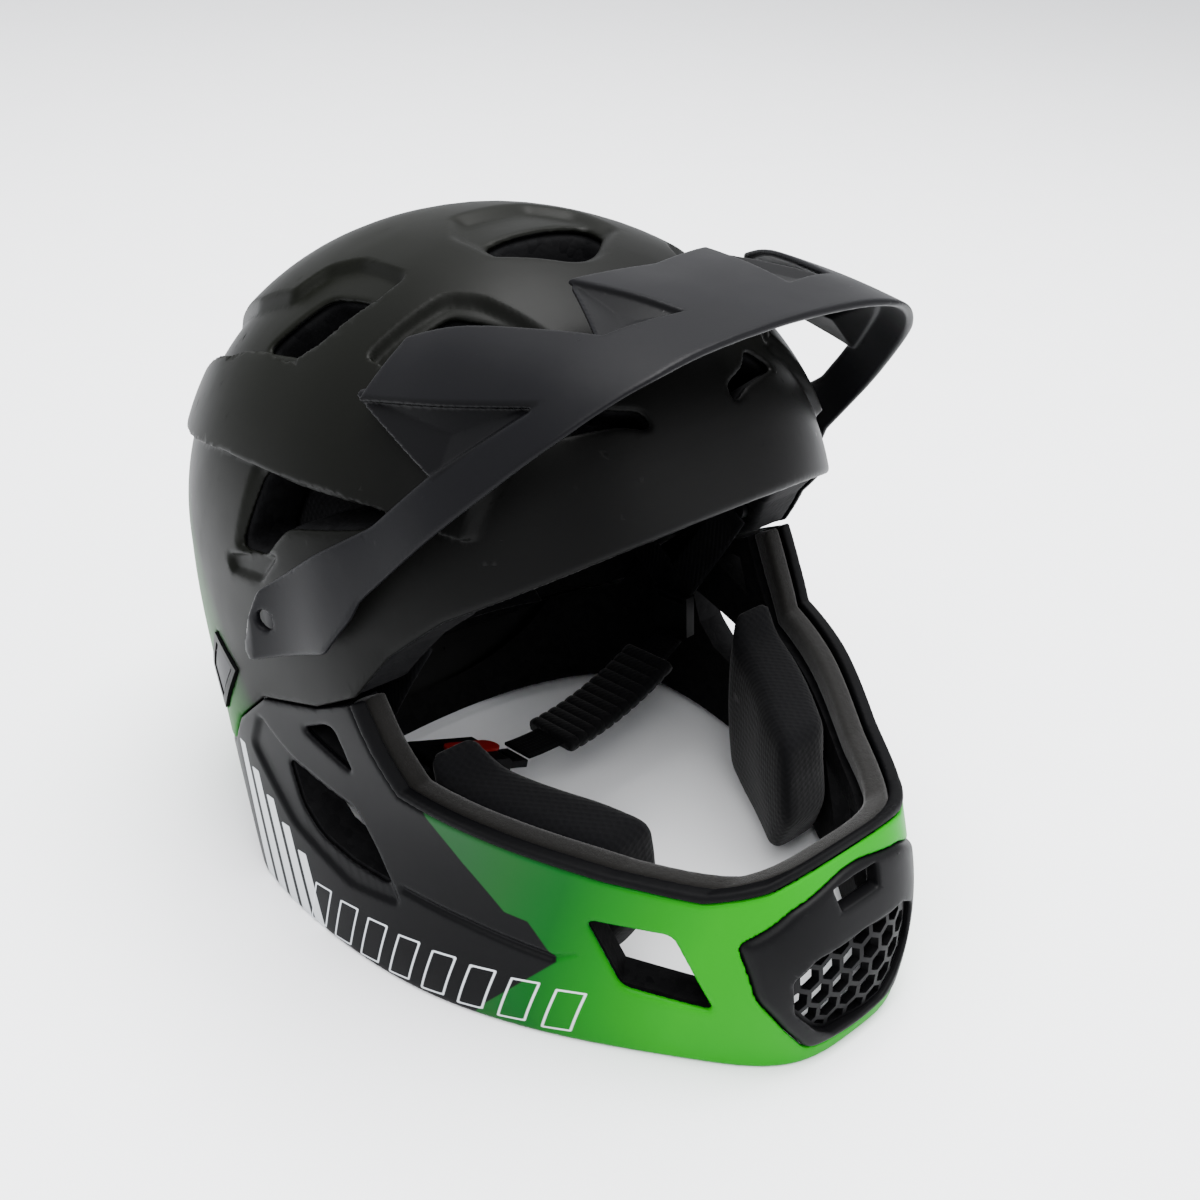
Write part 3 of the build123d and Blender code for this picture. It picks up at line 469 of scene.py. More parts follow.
# Shares as places in millimetres, from the side or on both halves
def scaled(shares, a, b):
    return [(u * a, v * b) for u, v in shares]


def both_halves(shares, a, b):
    points = scaled(shares, a, b)
    return points[::-1] + [(-u, v) for u, v in points if u > 0]


def side_field(shares, radius=0.0):
    return beside_field(scaled(shares, JAW, BASE_Z), radius)


def top_field(shares, size, radius=0.0):
    return above_field(both_halves(shares, HALF_WIDTH, size), radius)


def front_field(shares, radius=0.0):
    points = rounded(both_halves(shares, HALF_WIDTH, BASE_Z), radius)
    return outline_field(points, GX[:, None], GZ[None, :])[:, None, :]


def aimed_field(at, shares, radius):
    place, aim = np.array(at[0]), at[1]
    turn, lift = math.radians(aim[0]), math.radians(aim[1])
    normal = np.array((-math.sin(turn) * math.cos(lift), -math.cos(turn) * math.cos(lift), math.sin(lift)))
    along = np.array((math.cos(turn), -math.sin(turn), 0))
    up = np.cross(normal, along)
    points = rounded(scaled(shares, SPAN, SPAN), radius)
    x, y, z = GX[:, None, None] - place[0], GY[None, :, None] - place[1], GZ[None, None, :] - place[2]
    window = [np.abs(g - p) < VENT_REACH for g, p in zip((GX, GY, GZ), place)]
    x, y, z = x[window[0]], y[:, window[1]], z[:, :, window[2]]
    u = x * along[0] + y * along[1] + z * along[2]
    v = x * up[0] + y * up[1] + z * up[2]
    w = x * normal[0] + y * normal[1] + z * normal[2]
    out = np.full((len(GX), len(GY), len(GZ)), FAR, dtype=np.float32)
    out[np.ix_(*window)] = np.maximum(outline_field(points, u, v), np.abs(w) - VENT_DEPTH)
    return out


# Cuts and joins with a rounded edge
def meet(a, b, k):
    h = np.clip(0.5 + 0.5 * (a - b) / k, 0, 1)
    return b + (a - b) * h + k * h * (1 - h)


def join(a, b, k):
    return -meet(-a, -b, k)


def cut(a, b, k):
    return meet(a, -b, k)


# One inside an outline and zero outside, with a slope of this width
def step(d, width):
    t = np.clip(0.5 - d / width, 0, 1)
    return t * t * (3 - 2 * t)


def region_field(drop=0.0):
    points = [(y * JAW, z * BASE_Z + drop) for y, z in RIM]
    points += [(points[-1][0], -OUTSIDE), (OUTSIDE, -OUTSIDE), (OUTSIDE, OUTSIDE), (-OUTSIDE, OUTSIDE),
               (-OUTSIDE, points[0][1])]
    return beside_field(points)


# Distances to paint edges and to the edges of painted shade, kept on the mesh for the material
def mark_paint(obj, rows, plan_rows=None):
    mesh = obj.data
    n = len(mesh.vertices)
    co = np.empty(n * 3)
    mesh.vertices.foreach_get("co", co)
    co = co.reshape(-1, 3) / MM - np.array((0, REST_SHIFT, -REST_HEIGHT))
    y = REST_COS * co[:, 1] - REST_SIN * co[:, 2]
    z = REST_SIN * co[:, 1] + REST_COS * co[:, 2]
    for name, outlines in rows.items():
        d = np.minimum.reduce([outline_field(points, y, z) for points in outlines])
        for plan in (plan_rows or {}).get(name, ()):
            seen = np.where(z > VISOR_TOP_SHARE * BASE_Z, outline_field(plan, -np.abs(co[:, 0]), y), FAR)
            d = np.minimum(d, seen)
        layer = mesh.attributes.new(name, "FLOAT", "POINT")
        layer.data.foreach_set("value", d.astype(np.float32))


def port_line(inset):
    line = scaled(PORT, JAW, BASE_Z)
    moved = []
    for i, (y, z) in enumerate(line):
        p = line[max(i - 1, 0)]
        q = line[min(i + 1, len(line) - 1)]
        dy, dz = q[0] - p[0], q[1] - p[1]
        length = math.hypot(dy, dz)
        moved.append((y - dz / length * inset, z + dy / length * inset))
    return moved


def band_field(start, end):
    return beside_field(port_line(start) + port_line(end)[::-1])


def chin_field(inset):
    seam = [(y * JAW, z * BASE_Z - SEAM_GAP) for y, z in RIM[8:]]
    top = port_line(inset)
    points = top[::-1] + seam + [(seam[-1][0], -OUTSIDE), (-OUTSIDE, -OUTSIDE), (-OUTSIDE, top[-1][1])]
    return beside_field(points)


def floor_field(gap):
    y, z = GY[None, :, None], GZ[None, None, :]
    return (REST_HEIGHT + gap + REST_SIN * y - REST_COS * z).astype(np.float32)


def disc_field(radius):
    y, z = PIVOT
    return (np.sqrt((GY[:, None] - y) ** 2 + (GZ[None, :] - z) ** 2) - radius)[None, :, :]


# A closed mesh from a field, mirrored to the whole helmet or kept on one side
def mesh_from(name, field, side=0, adapt=0.02):
    band = 3 * CELL
    field = np.clip(field, -band, band).astype(np.float32)
    if side == 0:
        field = np.concatenate([field, field[-2::-1]], axis=0)
    grid = vdb.FloatGrid(band)
    grid.copyFromArray(np.ascontiguousarray(field))
    points, triangles, quads = grid.convertToPolygons(0.0, adapt)
    points = points.astype(float) * CELL + np.array((GX[0], GY[0], GZ[0]))
    if side > 0:
        points[:, 0] *= -1
    points = to_rest(points)
    faces = triangles.tolist() + quads.tolist()
    mesh = bpy.data.meshes.new(name)
    mesh.from_pydata(points.tolist(), [], faces)
    mesh.update()
    if is_inside_out(mesh):
        mesh.flip_normals()
    mesh.shade_smooth()
    return add_object(name, mesh)


def face_values(mesh, name, width):
    values = np.empty(len(mesh.polygons) * width)
    mesh.polygons.foreach_get(name, values)
    return values.reshape(-1, width)


# Second finish on the faces that look towards the head
def line_inside(mesh):
    out = face_values(mesh, "center", 3) - np.array((0, CENTRE_Y + REST_SHIFT, HEAD_HEIGHT)) * MM
    out[:, 2] = np.maximum(out[:, 2], 0)
    out /= np.linalg.norm(out, axis=1)[:, None]
    inner = (out * face_values(mesh, "normal", 3)).sum(axis=1) < INWARD
    mesh.polygons.foreach_set("material_index", inner.astype(np.int32))


def is_inside_out(mesh):
    outward = (face_values(mesh, "center", 3) * face_values(mesh, "normal", 3)).sum(axis=1)
    return (outward * face_values(mesh, "area", 1)[:, 0]).sum() < 0


def add_object(name, data):
    obj = bpy.data.objects.new(name, data)
    bpy.context.scene.collection.objects.link(obj)
    return obj


def body():
    if "body" not in fields:
        fields["body"] = body_field()
    return fields["body"]


def vents_field():
    holes = side_field(SIDE_VENT, BROAD)
    for at, shares, radius in ((UPPER_AT, UPPER_VENT, BROAD), (CROWN_AT, CROWN_VENT, SOFT),
                               (BROW_AT, BROW_VENT, SOFT), (REAR_AT, REAR_VENT, BROAD)):
        holes = np.minimum(holes, aimed_field(at, shares, radius))
    return np.minimum(holes, np.maximum(top_field(TOP_VENT, SPAN, FOAM), BASE_Z - GZ[None, None, :]))


def shell_shape():
    d = body()
    channel = np.minimum(above_field(REAR_CHANNEL, SOFT), above_field(FRONT_CHANNEL, SOFT))
    dip = step(top_field(TOP_RECESS, SPAN, FOAM) + DIP_INSET, DIP_SLOPE)
    upper = 1 - np.maximum(step(channel, CHANNEL_SLOPE), dip)
    raised = step(side_field(RIDGE, SOFT), FINE)
    level = raised * RAISED * upper
    tilt = step(side_field(SIDE_BEVEL, ROUND), FOAM)
    facet = step(side_field(SIDE_FACET, ROUND), SOFT)
    outer = d - level + BEVEL_DEPTH * tilt + FACET_DEPTH * facet
    shell = meet(outer, region_field(), ROUND)
    shell = meet(shell, -(d + SHELL_WALL + np.maximum(outer - d, 0)), THIN)
    shell = meet(shell, floor_field(SHELL_FOOT * BASE_Z), TRIM)
    shell = cut(shell, vents_field(), VENT)
    shell = cut(shell, side_field(LATCH) - SEAM_GAP, CRISP)
    return cut(shell, disc_field(SHELL_BORE), HAIR)


def liner_shape():
    d = body()
    liner = meet(d + SHELL_WALL + FOAM_GAP, region_field(FOAM_DROP), ROUND)
    x, z = GX[:, None, None], GZ[None, None, :]
    channels = np.minimum.reduce([np.abs(x + place) - AIRWAY_HALF for place in AIRWAYS])
    depth = AIRWAY_DEPTH * step(np.maximum(channels, AIRWAY_FOOT - z), BROAD)
    liner = meet(liner, -(d + CROWN_FOAM - depth), FOAM)
    liner = meet(liner, FOAM_FOOT - z, SOFT)
    liner = cut(liner, vents_field(), SOFT)
    return cut(liner, side_field(LATCH) - PART_GAP, CRISP)


def chin_shape():
    d = body()
    panel = step(side_field(CHIN_PANEL, SOFT), SOFT)
    groove = step(side_field(GROOVE), ROUND)
    outer = d + PANEL_DEPTH * np.maximum(panel, groove * GROOVE_SHARE)
    bar = meet(outer, chin_field(PORT_INSET), FINE)
    bar = meet(bar, floor_field(0), ROUND)
    bar = meet(bar, -(d + CHIN_WALL), THIN)
    bar = meet(bar, GZ[None, None, :] - CHIN_TOP, CRISP)
    holes = np.minimum(side_field(SMALL_VENT, SOFT), side_field(LARGE_VENT, FOAM))
    holes = np.minimum(holes, aimed_field(FRONT_AT, FRONT_VENT, SOFT))
    bar = cut(bar, holes, OPEN)
    front = np.maximum(front_field(INSERT, SOFT) - SEAM_GAP, GY[None, :, None] + JAW / 2)
    return cut(bar, front, CRISP)


def insert_shape():
    d = body()
    ins = meet(d - INSERT_PROUD, front_field(INSERT, SOFT), OPEN)
    ins = meet(ins, -(d + INSERT_DEPTH), CRISP)
    ins = meet(ins, GY[None, :, None] + JAW / 2, CRISP)
    ins = cut(ins, front_field(MESH, ROUND), FINE)
    ins = cut(ins, front_field(SLOT, CRISP), THIN)
    return meet(ins, floor_field(SEAM_GAP), CRISP)


def trim_shape():
    d = body()
    trim = meet(d - TRIM_PROUD, band_field(*TRIM_BAND), TRIM_EDGE)
    return meet(trim, -(d + TRIM_DEPTH), CRISP)


def felt_shape():
    d = body()
    felt = meet(d + FELT_DEPTHS[0], band_field(*FELT_BAND), SOFT)
    return meet(felt, -(d + FELT_DEPTHS[1]), SOFT)


def visor_field():
    wanted = np.linspace(0, math.pi, VISOR_STEPS)
    rows = []
    for y, shares in ARCHES:
        x = np.array([p[0] * HALF_WIDTH for p in shares])
        z = np.array([p[1] * BASE_Z for p in shares]) - VISOR_CENTRE
        a, r = np.arctan2(x, z), np.hypot(x, z)
        known = np.concatenate([-a[2:0:-1], a])
        values = np.concatenate([r[2:0:-1], r])
        rows.append(curve_weights(known, np.minimum(wanted, a[-1] + VISOR_OVERRUN[1])) @ values)
    places = np.array([row[0] * JAW for row in ARCHES])
    ends = np.clip(GY, places[0] - VISOR_OVERRUN[0], places[-1] + VISOR_OVERRUN[0])
    table = curve_weights(places, ends) @ np.array(rows)
    x, z = np.meshgrid(GX, GZ - VISOR_CENTRE, indexing="ij")
    rho, phi = np.hypot(x, z), np.arctan2(np.abs(x), z)
    f = np.empty((len(GX), len(GY), len(GZ)), dtype=np.float32)
    for j in range(len(GY)):
        f[:, j, :] = rho / np.interp(phi, wanted, table[j]) - 1
    return true_distance(f)


def top_web_plan():
    return scaled(VISOR_WEB_TOP, -HALF_WIDTH, JAW)


def visor_shape():
    d = visor_field()
    sheet = meet(d, -(d + VISOR_WALL), CRISP)
    sheet = meet(sheet, side_field(VISOR_SIDE, ROUND), FINE)
    below = VISOR_TOP_SHARE * BASE_Z - GZ[None, None, :]
    sheet = cut(sheet, np.maximum(top_field(VISOR_TOP, JAW), below), FINE)
    webs = (side_field(VISOR_WEB, TRIM), np.maximum(above_field(top_web_plan(), TRIM), below))
    for web, deepest in zip(webs, WEB_DEEPEST):
        fall = WEB_DROP + WEB_SLOPE * np.clip(-web, 0, deepest)
        web = meet(np.maximum(d + fall, -(d + fall + WEB_WALL)), web - WEB_LAP, CRISP)
        sheet = join(sheet, web, CRISP)
    return cut(sheet, disc_field(VISOR_BORE), HAIR)


def pad_shape(prism):
    d = body()
    pad = meet(d + CROWN_FOAM + PART_GAP, -(d + CROWN_FOAM + PAD_WALL), BROAD)
    return meet(pad, prism, BROAD)


def cheek_shape():
    d = body() + CHIN_WALL + CHIN_FOAM
    pad = meet(d + CHEEK_GAP, -(d + CHEEK_WALL), CHEEK_EDGES[0])
    pad = meet(pad, side_field(CHEEK, CHEEK_EDGES[1]), CHEEK_EDGES[2])
    return meet(pad, GX[:, None, None] + CHEEK_MIDDLE, FOAM)


# Materials
def linear(hex_colour):
    values = [int(hex_colour[i:i + 2], 16) / 255 for i in (1, 3, 5)]
    return tuple(v / 12.92 if v <= 0.04045 else ((v + 0.055) / 1.055) ** 2.4 for v in values) + (1.0,)


# A node with its settings: a hex value is a colour, and another node's output is linked
def node(tree, kind, settings):
    n = tree.nodes.new(kind)
    for key, value in settings.items():
        if isinstance(value, bpy.types.NodeSocket):
            tree.links.new(value, n.inputs[key])
        elif isinstance(key, int) or key in n.inputs:
            n.inputs[key].default_value = linear(value) if isinstance(value, str) else value
        else:
            setattr(n, key, value)
    return n


def new_material(name, colour, roughness, metallic=0.0):
    m = bpy.data.materials.new(name)
    m.use_nodes = True
    tree = m.node_tree
    shader = tree.nodes["Principled BSDF"]
    shader.inputs["Base Color"].default_value = linear(colour)
    shader.inputs["Roughness"].default_value = roughness
    shader.inputs["Metallic"].default_value = metallic
    if metallic == 0:
        shader.inputs["IOR"].default_value = REFRACTION
        shader.inputs["Specular IOR Level"].default_value = SHINE
    m.diffuse_color = linear(colour)
    return m, tree, shader, tree.nodes.new("ShaderNodeTexCoord").outputs["Object"]


# Coats of colour over a first one, each with the mask that shows it
def coats(tree, colour, *layers):
    for mask, over in layers:
        settings = {"data_type": "RGBA", 0: mask, 6: colour, 7: over}
        colour = node(tree, "ShaderNodeMix", settings).outputs[2]
    return colour


# A pattern that raises the surface by a height in millimetres, and one that shades it between two tones
def texture(tree, shader, relief, strength, height, shade, tones):
    bump = node(tree, "ShaderNodeBump", {"Strength": strength, "Distance": height * MM, "Height": relief})
    tree.links.new(bump.outputs["Normal"], shader.inputs["Normal"])
    if tones:
        tree.links.new(coats(tree, tones[0], (shade, tones[1])), shader.inputs["Base Color"])


# Grain of a real size with its bump, under wide clouds that change roughness and colour a little
def grain(tree, shader, place, size, height, colour, spread=0.12, rough=(0.4, 0.5)):
    fine = node(tree, "ShaderNodeTexNoise", {"Scale": 1 / (size * MM), "Detail": 3.0, "Vector": place})
    clouds = node(tree, "ShaderNodeTexNoise", {"Scale": 1 / (CLOUD * MM), "Detail": 4.0, "Vector": place})
    ramp = node(tree, "ShaderNodeMapRange", {
        "From Min": CLOUD_ENDS[0], "From Max": CLOUD_ENDS[1], "To Min": rough[0], "To Max": rough[1],
        "Value": clouds.outputs["Fac"]})
    tree.links.new(ramp.outputs["Result"], shader.inputs["Roughness"])
    tones = None
    if colour:
        tones = [tuple(c * (1 + k) for c in linear(colour)[:3]) + (1,) for k in (-spread, spread)]
    texture(tree, shader, fine.outputs["Fac"], GRAIN_STRENGTH, height, clouds.outputs["Fac"], tones)


# How far a point lies along a direction, from zero to one between two marks in millimetres
def along(tree, place, fade):
    direction, start, end = fade
    v = turn_rest(direction)
    dot = node(tree, "ShaderNodeVectorMath", {"operation": "DOT_PRODUCT", 0: place, 1: v})
    shift = Vector((0, REST_SHIFT, -REST_HEIGHT)).dot(v)
    limits = {"From Min": (start + shift) * MM, "From Max": (end + shift) * MM, "Value": dot.outputs["Value"]}
    return node(tree, "ShaderNodeMapRange", limits).outputs["Result"]


# One inside a painted outline, or on its line when that has a half width, with a soft edge in millimetres
def paint_edge(tree, name, soft, line=None):
    distance = node(tree, "ShaderNodeAttribute", {"attribute_name": name}).outputs["Fac"]
    if line:
        side = node(tree, "ShaderNodeMath", {"operation": "ABSOLUTE", 0: distance}).outputs[0]
        distance = node(tree, "ShaderNodeMath", {"operation": "SUBTRACT", 0: side, 1: line}).outputs[0]
    limits = {"From Min": soft, "From Max": -soft, "Value": distance}
    return node(tree, "ShaderNodeMapRange", limits).outputs["Result"]


# Matt sprayed paint on the shell: dark olive grey that fades to green low at the rear
def shell_paint():
    m, tree, shader, place = new_material("matt_sprayed_abs_olive", "#2b2c26", 0.46)
    sizes = bpy.context.scene.helmet_sizes
    paint = coats(tree, tuple(sizes.shell_colour), (along(tree, place, DARK_CROWN), "#050505"),
                  (along(tree, place, LOW_GREEN), "#005c02"))
    tree.links.new(paint, shader.inputs["Base Color"])
    grain(tree, shader, place, *PAINT_GRAIN, None, rough=MATT)
    return m


# Matt sprayed paint on the chin bar: charcoal, then pale and dark green, then bright green at the front
def chin_paint():
    m, tree, shader, place = new_material("matt_sprayed_abs_charcoal", "#242529", 0.42)
    sizes = bpy.context.scene.helmet_sizes
    green = coats(tree, "#153f1e", (along(tree, place, BRIGHT_GREEN), "#00460e"),
                  (along(tree, place, NEON_GREEN), tuple(sizes.bright_colour)))
    paint = coats(tree, tuple(sizes.chin_colour), (paint_edge(tree, "green_edge", EDGE_SOFT), green),
                  (paint_edge(tree, "bars", BAR_SOFT), "#b9bcbf"),
                  (paint_edge(tree, "marks", MARK_SOFT, MARK_LINE), "#c4c8cc"))
    tree.links.new(paint, shader.inputs["Base Color"])
    grain(tree, shader, place, *PAINT_GRAIN, None, rough=SATIN)
    return m


# Slate coloured visor moulding, with painted shade that darkens the webs under its fingers
def visor_plastic():
    m, tree, shader, place = new_material("moulded_abs_slate", "#0a0a0c", 0.42)
    sizes = bpy.context.scene.helmet_sizes
    # The webs under the fingers take a near black colour: painted shade for the shadow that falls under the
    # fingers
    paint = coats(tree, tuple(sizes.visor_colour), (paint_edge(tree, "webs", WEB_SHADE_SOFT), "#050506"))
    tree.links.new(paint, shader.inputs["Base Color"])
    grain(tree, shader, place, *VISOR_GRAIN, None, rough=SATIN)
    return m


# Moulded plastic: a fine spark eroded grain that softens its highlights
def moulded(name, colour, size, rough):
    m, tree, shader, place = new_material(name, colour, rough[0])
    grain(tree, shader, place, size, MOULD_HEIGHT, colour, rough=rough)
    return m


# Expanded polystyrene: packed beads about three millimetres across, dull with dark seams
def bead_foam():
    m, tree, shader, place = new_material("expanded_polystyrene_black", "#141414", 0.8)
    beads = {"Scale": 1 / (BEAD * MM), "Vector": place}
    edges = node(tree, "ShaderNodeTexVoronoi", {**beads, "feature": "DISTANCE_TO_EDGE"}).outputs["Distance"]
    cells = node(tree, "ShaderNodeTexVoronoi", beads).outputs["Color"]
    texture(tree, shader, edges, 0.6, 0.3, cells, ("#040405", "#0c0c0d"))
    return m


# Pressed wool felt: short fibres that scatter the light and blur its edges
def felt_cloth():
    m, tree, shader, place = new_material("pressed_felt_grey", "#4a4643", 0.95)
    fibres = node(tree, "ShaderNodeTexNoise", {
        "Scale": 1 / (FIBRE * MM), "Detail": 6.0, "Roughness": 0.8, "Vector": place}).outputs["Fac"]
    texture(tree, shader, fibres, 0.8, 0.4, fibres, ("#070606", "#131210"))
    shader.inputs["Sheen Weight"].default_value = 0.15
    return m


# Knitted mesh cloth, drawn at two millimetres so that it shows
def knit_cloth():
    m, tree, shader, place = new_material("knitted_polyester_black", "#08080a", 0.85)
    turned = node(tree, "ShaderNodeMapping", {"Rotation": KNIT_TURN, "Vector": place}).outputs[0]
    cells = node(tree, "ShaderNodeTexVoronoi", {
        "Scale": 1 / (KNIT * MM), "Randomness": 0.15, "Vector": turned}).outputs["Distance"]
    texture(tree, shader, cells, 0.7, 0.35, cells, ("#020203", "#08080a"))
    shader.inputs["Sheen Weight"].default_value = 0.06
    return m


# Scale of a wave pattern from the distance between its ribs in millimetres
def wave_scale(size):
    return 1 / (size * MM) / WAVE_TURN * 2


# Woven polyester webbing: ribs about one and a half millimetres apart that catch a dull sheen
def webbing_cloth():
    m, tree, shader, place = new_material("woven_polyester_webbing", "#17171a", 0.8)
    ribs = node(tree, "ShaderNodeTexWave", {
        "Scale": wave_scale(RIB), "bands_direction": "X", "Distortion": 0.6, "Vector": place})
    rows = node(tree, "ShaderNodeTexWave", {
        "Scale": wave_scale(CROSS_RIB), "bands_direction": "Y", "Vector": place})
    weave = node(tree, "ShaderNodeMath", {
        "operation": "MULTIPLY", 0: ribs.outputs["Fac"], 1: rows.outputs["Fac"]}).outputs[0]
    texture(tree, shader, weave, 0.6, 0.25, weave, ("#040405", "#0e0e10"))
    return m


# Turned stainless steel: bright, with fine marks that spread its highlights
def steel_metal():
    m, tree, shader, place = new_material("turned_stainless_steel", "#8c8c8c", 0.3, metallic=1.0)
    grain(tree, shader, place, 0.5, 0.02, "#8c8c8c", rough=(0.25, 0.4))
    return m


# Pale matt paper on the floor of the studio
def floor_paper():
    m, tree, shader, place = new_material("matt_white_paper_floor", "#f4f5f7", 0.6)
    grain(tree, shader, place, 8.0, 0.05, "#f1f2f4", spread=0.01, rough=(0.55, 0.65))
    return m


# Plain mouldings: material, colour, grain in millimetres and roughness
MOULDINGS = {
    "peg_plastic": ("moulded_acetal_slate", "#0e0e11", 0.6, SATIN),
    "black_plastic": ("moulded_nylon_black", "#060607", 0.6, (0.38, 0.52)),
    "black_rubber": ("moulded_rubber_black", "#030304", 0.5, (0.55, 0.7)),
    "lever_grey": ("moulded_nylon_grey", "#222225", 0.6, (0.4, 0.5)),
    "red_tab": ("moulded_nylon_red", "#5c0c0c", 0.6, (0.35, 0.45)),
}
MAKERS = {"shell_paint": shell_paint, "chin_paint": chin_paint, "black_foam": bead_foam,
          "grey_felt": felt_cloth, "pad_fabric": knit_cloth, "webbing": webbing_cloth, "steel": steel_metal,
          "visor_plastic": visor_plastic}
finishes = {}


def finish(name):
    if name not in finishes:
        finishes[name] = moulded(*MOULDINGS[name]) if name in MOULDINGS else MAKERS[name]()
    return finishes[name]


def dress(obj, slot_name, body_name, *nodes, lining=None):
    obj.data.materials.clear()
    obj.data.materials.append(finish(slot_name))
    if lining:
        obj.data.materials.append(finish(lining))
        line_inside(obj.data)
    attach(obj, body_name)
    if nodes:
        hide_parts(*nodes)
    return obj


def paint_node(name, slot_name):
    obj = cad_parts[name]
    for place in obj.material_slots:
        place.material = finish(slot_name)
    if not obj.material_slots:
        obj.data.materials.append(finish(slot_name))


# Height of the hanging strap at one place across
def hang(x):
    return STRAP_LOW + STRAP_RISE * (x / STRAP_SPAN) ** 2


def hang_line(start, end, steps):
    xs = [start + (end - start) * i / steps for i in range(steps + 1)]
    return [(x, STRAP_Y, hang(x)) for x in xs]


# A side strap from its anchor to the divider
def side_band(name, side, anchor, width):
    meet_y, meet_z = STRAP_Y, hang(STRAP_PLANE) + DIVIDER_DROP + DIVIDER / 2
    length = math.hypot(meet_y - anchor[0], meet_z - anchor[1])
    places = []
    for i in range(SIDE_STEPS + 1):
        t = i / SIDE_STEPS
        sag = SIDE_SAG * math.sin(t * math.pi)
        places.append((side * (STRAP_PLANE + sag), anchor[0] + (meet_y - anchor[0]) * t,
                       anchor[1] + (meet_z - anchor[1]) * t))
    across = (0.0, (meet_z - anchor[1]) / length, -(meet_y - anchor[0]) / length)
    return ribbon("side_strap_" + name, places, across, width, STRAP_WALL)


# A flat strap along a line of places, with its width direction at each
def ribbon(name, centres, widths_dir, width, wall, bulge=None):
    rows = []
    n = len(centres)
    for i in range(n):
        p = np.array(centres[i])
        q = np.array(centres[min(i + 1, n - 1)]) - np.array(centres[max(i - 1, 0)])
        q = q / np.linalg.norm(q)
        w = np.array(widths_dir, dtype=float)
        w = w - q * w.dot(q)
        w /= np.linalg.norm(w)
        up = np.cross(q, w)
        t = wall / 2 * (bulge(i / (n - 1)) if bulge else 1.0)
        rows.append([p + w * (width / 2 * a) + up * (t * b) for a, b in SECTION])
    m = len(SECTION)
    points = to_rest(np.array(rows).reshape(-1, 3))
    faces = []
    for i in range(n - 1):
        for j in range(m):
            k = (j + 1) % m
            faces.append((i * m + j, i * m + k, (i + 1) * m + k, (i + 1) * m + j))
    faces.append(tuple(range(m))[::-1])
    faces.append(tuple(range((n - 1) * m, n * m)))
    mesh = bpy.data.meshes.new(name)
    mesh.from_pydata(points.tolist(), [], faces)
    mesh.update()
    mesh.shade_smooth()
    return add_object(name, mesh)


class HelmetSizes(bpy.types.PropertyGroup):
    """Sizes that a user may change"""
    strap_width: bpy.props.FloatProperty(
        name="Strap width", description="Width of the chin strap", default=STRAP_WIDTH * MM, unit="LENGTH")
    sleeve_ribs: bpy.props.IntProperty(
        name="Sleeve ribs", description="Quilted ribs on the strap sleeve", default=12)
    shell_colour: bpy.props.FloatVectorProperty(
        name="Shell colour", description="Matt paint of the shell", subtype="COLOR", size=4,
        default=linear("#060704"))
    chin_colour: bpy.props.FloatVectorProperty(
        name="Chin colour", description="Matt paint of the chin bar", subtype="COLOR", size=4,
        default=linear("#040405"))
    bright_colour: bpy.props.FloatVectorProperty(
        name="Bright colour", description="Bright paint at the front", subtype="COLOR", size=4,
        default=linear("#007800"))
    visor_colour: bpy.props.FloatVectorProperty(
        name="Visor colour", description="Colour of the visor plastic", subtype="COLOR", size=4,
        default=linear("#0a0a0c"))


class HELMET_OT_shell(bpy.types.Operator):
    """Outer shell with its raised crown, vents and rolled edges"""
    bl_idname = "helmet.shell"
    bl_label = "Shell"

    def execute(self, context):
        use_space(WHOLE)
        shell = mesh_from("shell", shell_shape(), adapt=0.004)
        dress(shell, "shell_paint", "helmet", "shell_outer", lining="black_plastic")
        return {"FINISHED"}


class HELMET_OT_liner(bpy.types.Operator):
    """Bead foam liner of the crown"""
    bl_idname = "helmet.liner"
    bl_label = "Foam liner"

    def execute(self, context):
        use_space(WHOLE)
        dress(mesh_from("crown_foam", liner_shape()), "black_foam", "helmet", "crown_liner")
        paint_node("chin_bar_liner", "black_foam")
        return {"FINISHED"}


class HELMET_OT_chin(bpy.types.Operator):
    """Chin bar shell with its panels and openings, its edge and its felt strip"""
    bl_idname = "helmet.chin"
    bl_label = "Chin bar"

    def execute(self, context):
        use_space(LOW)
        bar = mesh_from("chin_bar", chin_shape(), adapt=0.0)
        dress(bar, "chin_paint", "chin_bar", "chin_bar_shell", lining="black_plastic")
        mark_paint(bar, {"green_edge": [GREEN_EDGE], "bars": BARS, "marks": MARKS})
        dress(mesh_from("chin_edge", trim_shape()), "black_rubber", "chin_bar", "chin_bar_edge_trim")
        felt = dress(mesh_from("chin_felt", felt_shape()), "grey_felt", "chin_bar", "chin_bar_felt_strip")
        use_space(FRONT)
        dress(mesh_from("chin_front", insert_shape()), "black_plastic", "chin_bar", "chin_insert")
        paint_node("chin_mesh", "black_plastic")
        paint_node("chin_bar_hooks", "steel")
        return {"FINISHED"}


class HELMET_OT_visor(bpy.types.Operator):
    """Visor sheet with its arms and fingers, and its pivot pegs"""
    bl_idname = "helmet.visor"
    bl_label = "Visor"

    def execute(self, context):
        use_space(SHADE)
        sheet = mesh_from("visor_sheet", visor_shape(), adapt=0.002)
        dress(sheet, "visor_plastic", "visor", "visor")
        # Outlines of the webs, where the visor material paints shade under the fingers
        mark_paint(sheet, {"webs": [scaled(VISOR_WEB, JAW, BASE_Z)]}, {"webs": [top_web_plan()]})
        paint_node("visor_pivot_pegs", "peg_plastic")
        return {"FINISHED"}


class HELMET_OT_latches(bpy.types.Operator):
    """Latches that release the chin bar"""
    bl_idname = "helmet.latches"
    bl_label = "Latches"

    def execute(self, context):
        for side in ("right", "left"):
            paint_node("latch_housing_" + side, "black_plastic")
            paint_node("latch_lever_" + side, "lever_grey")
        paint_node("latch_pins", "steel")
        return {"FINISHED"}


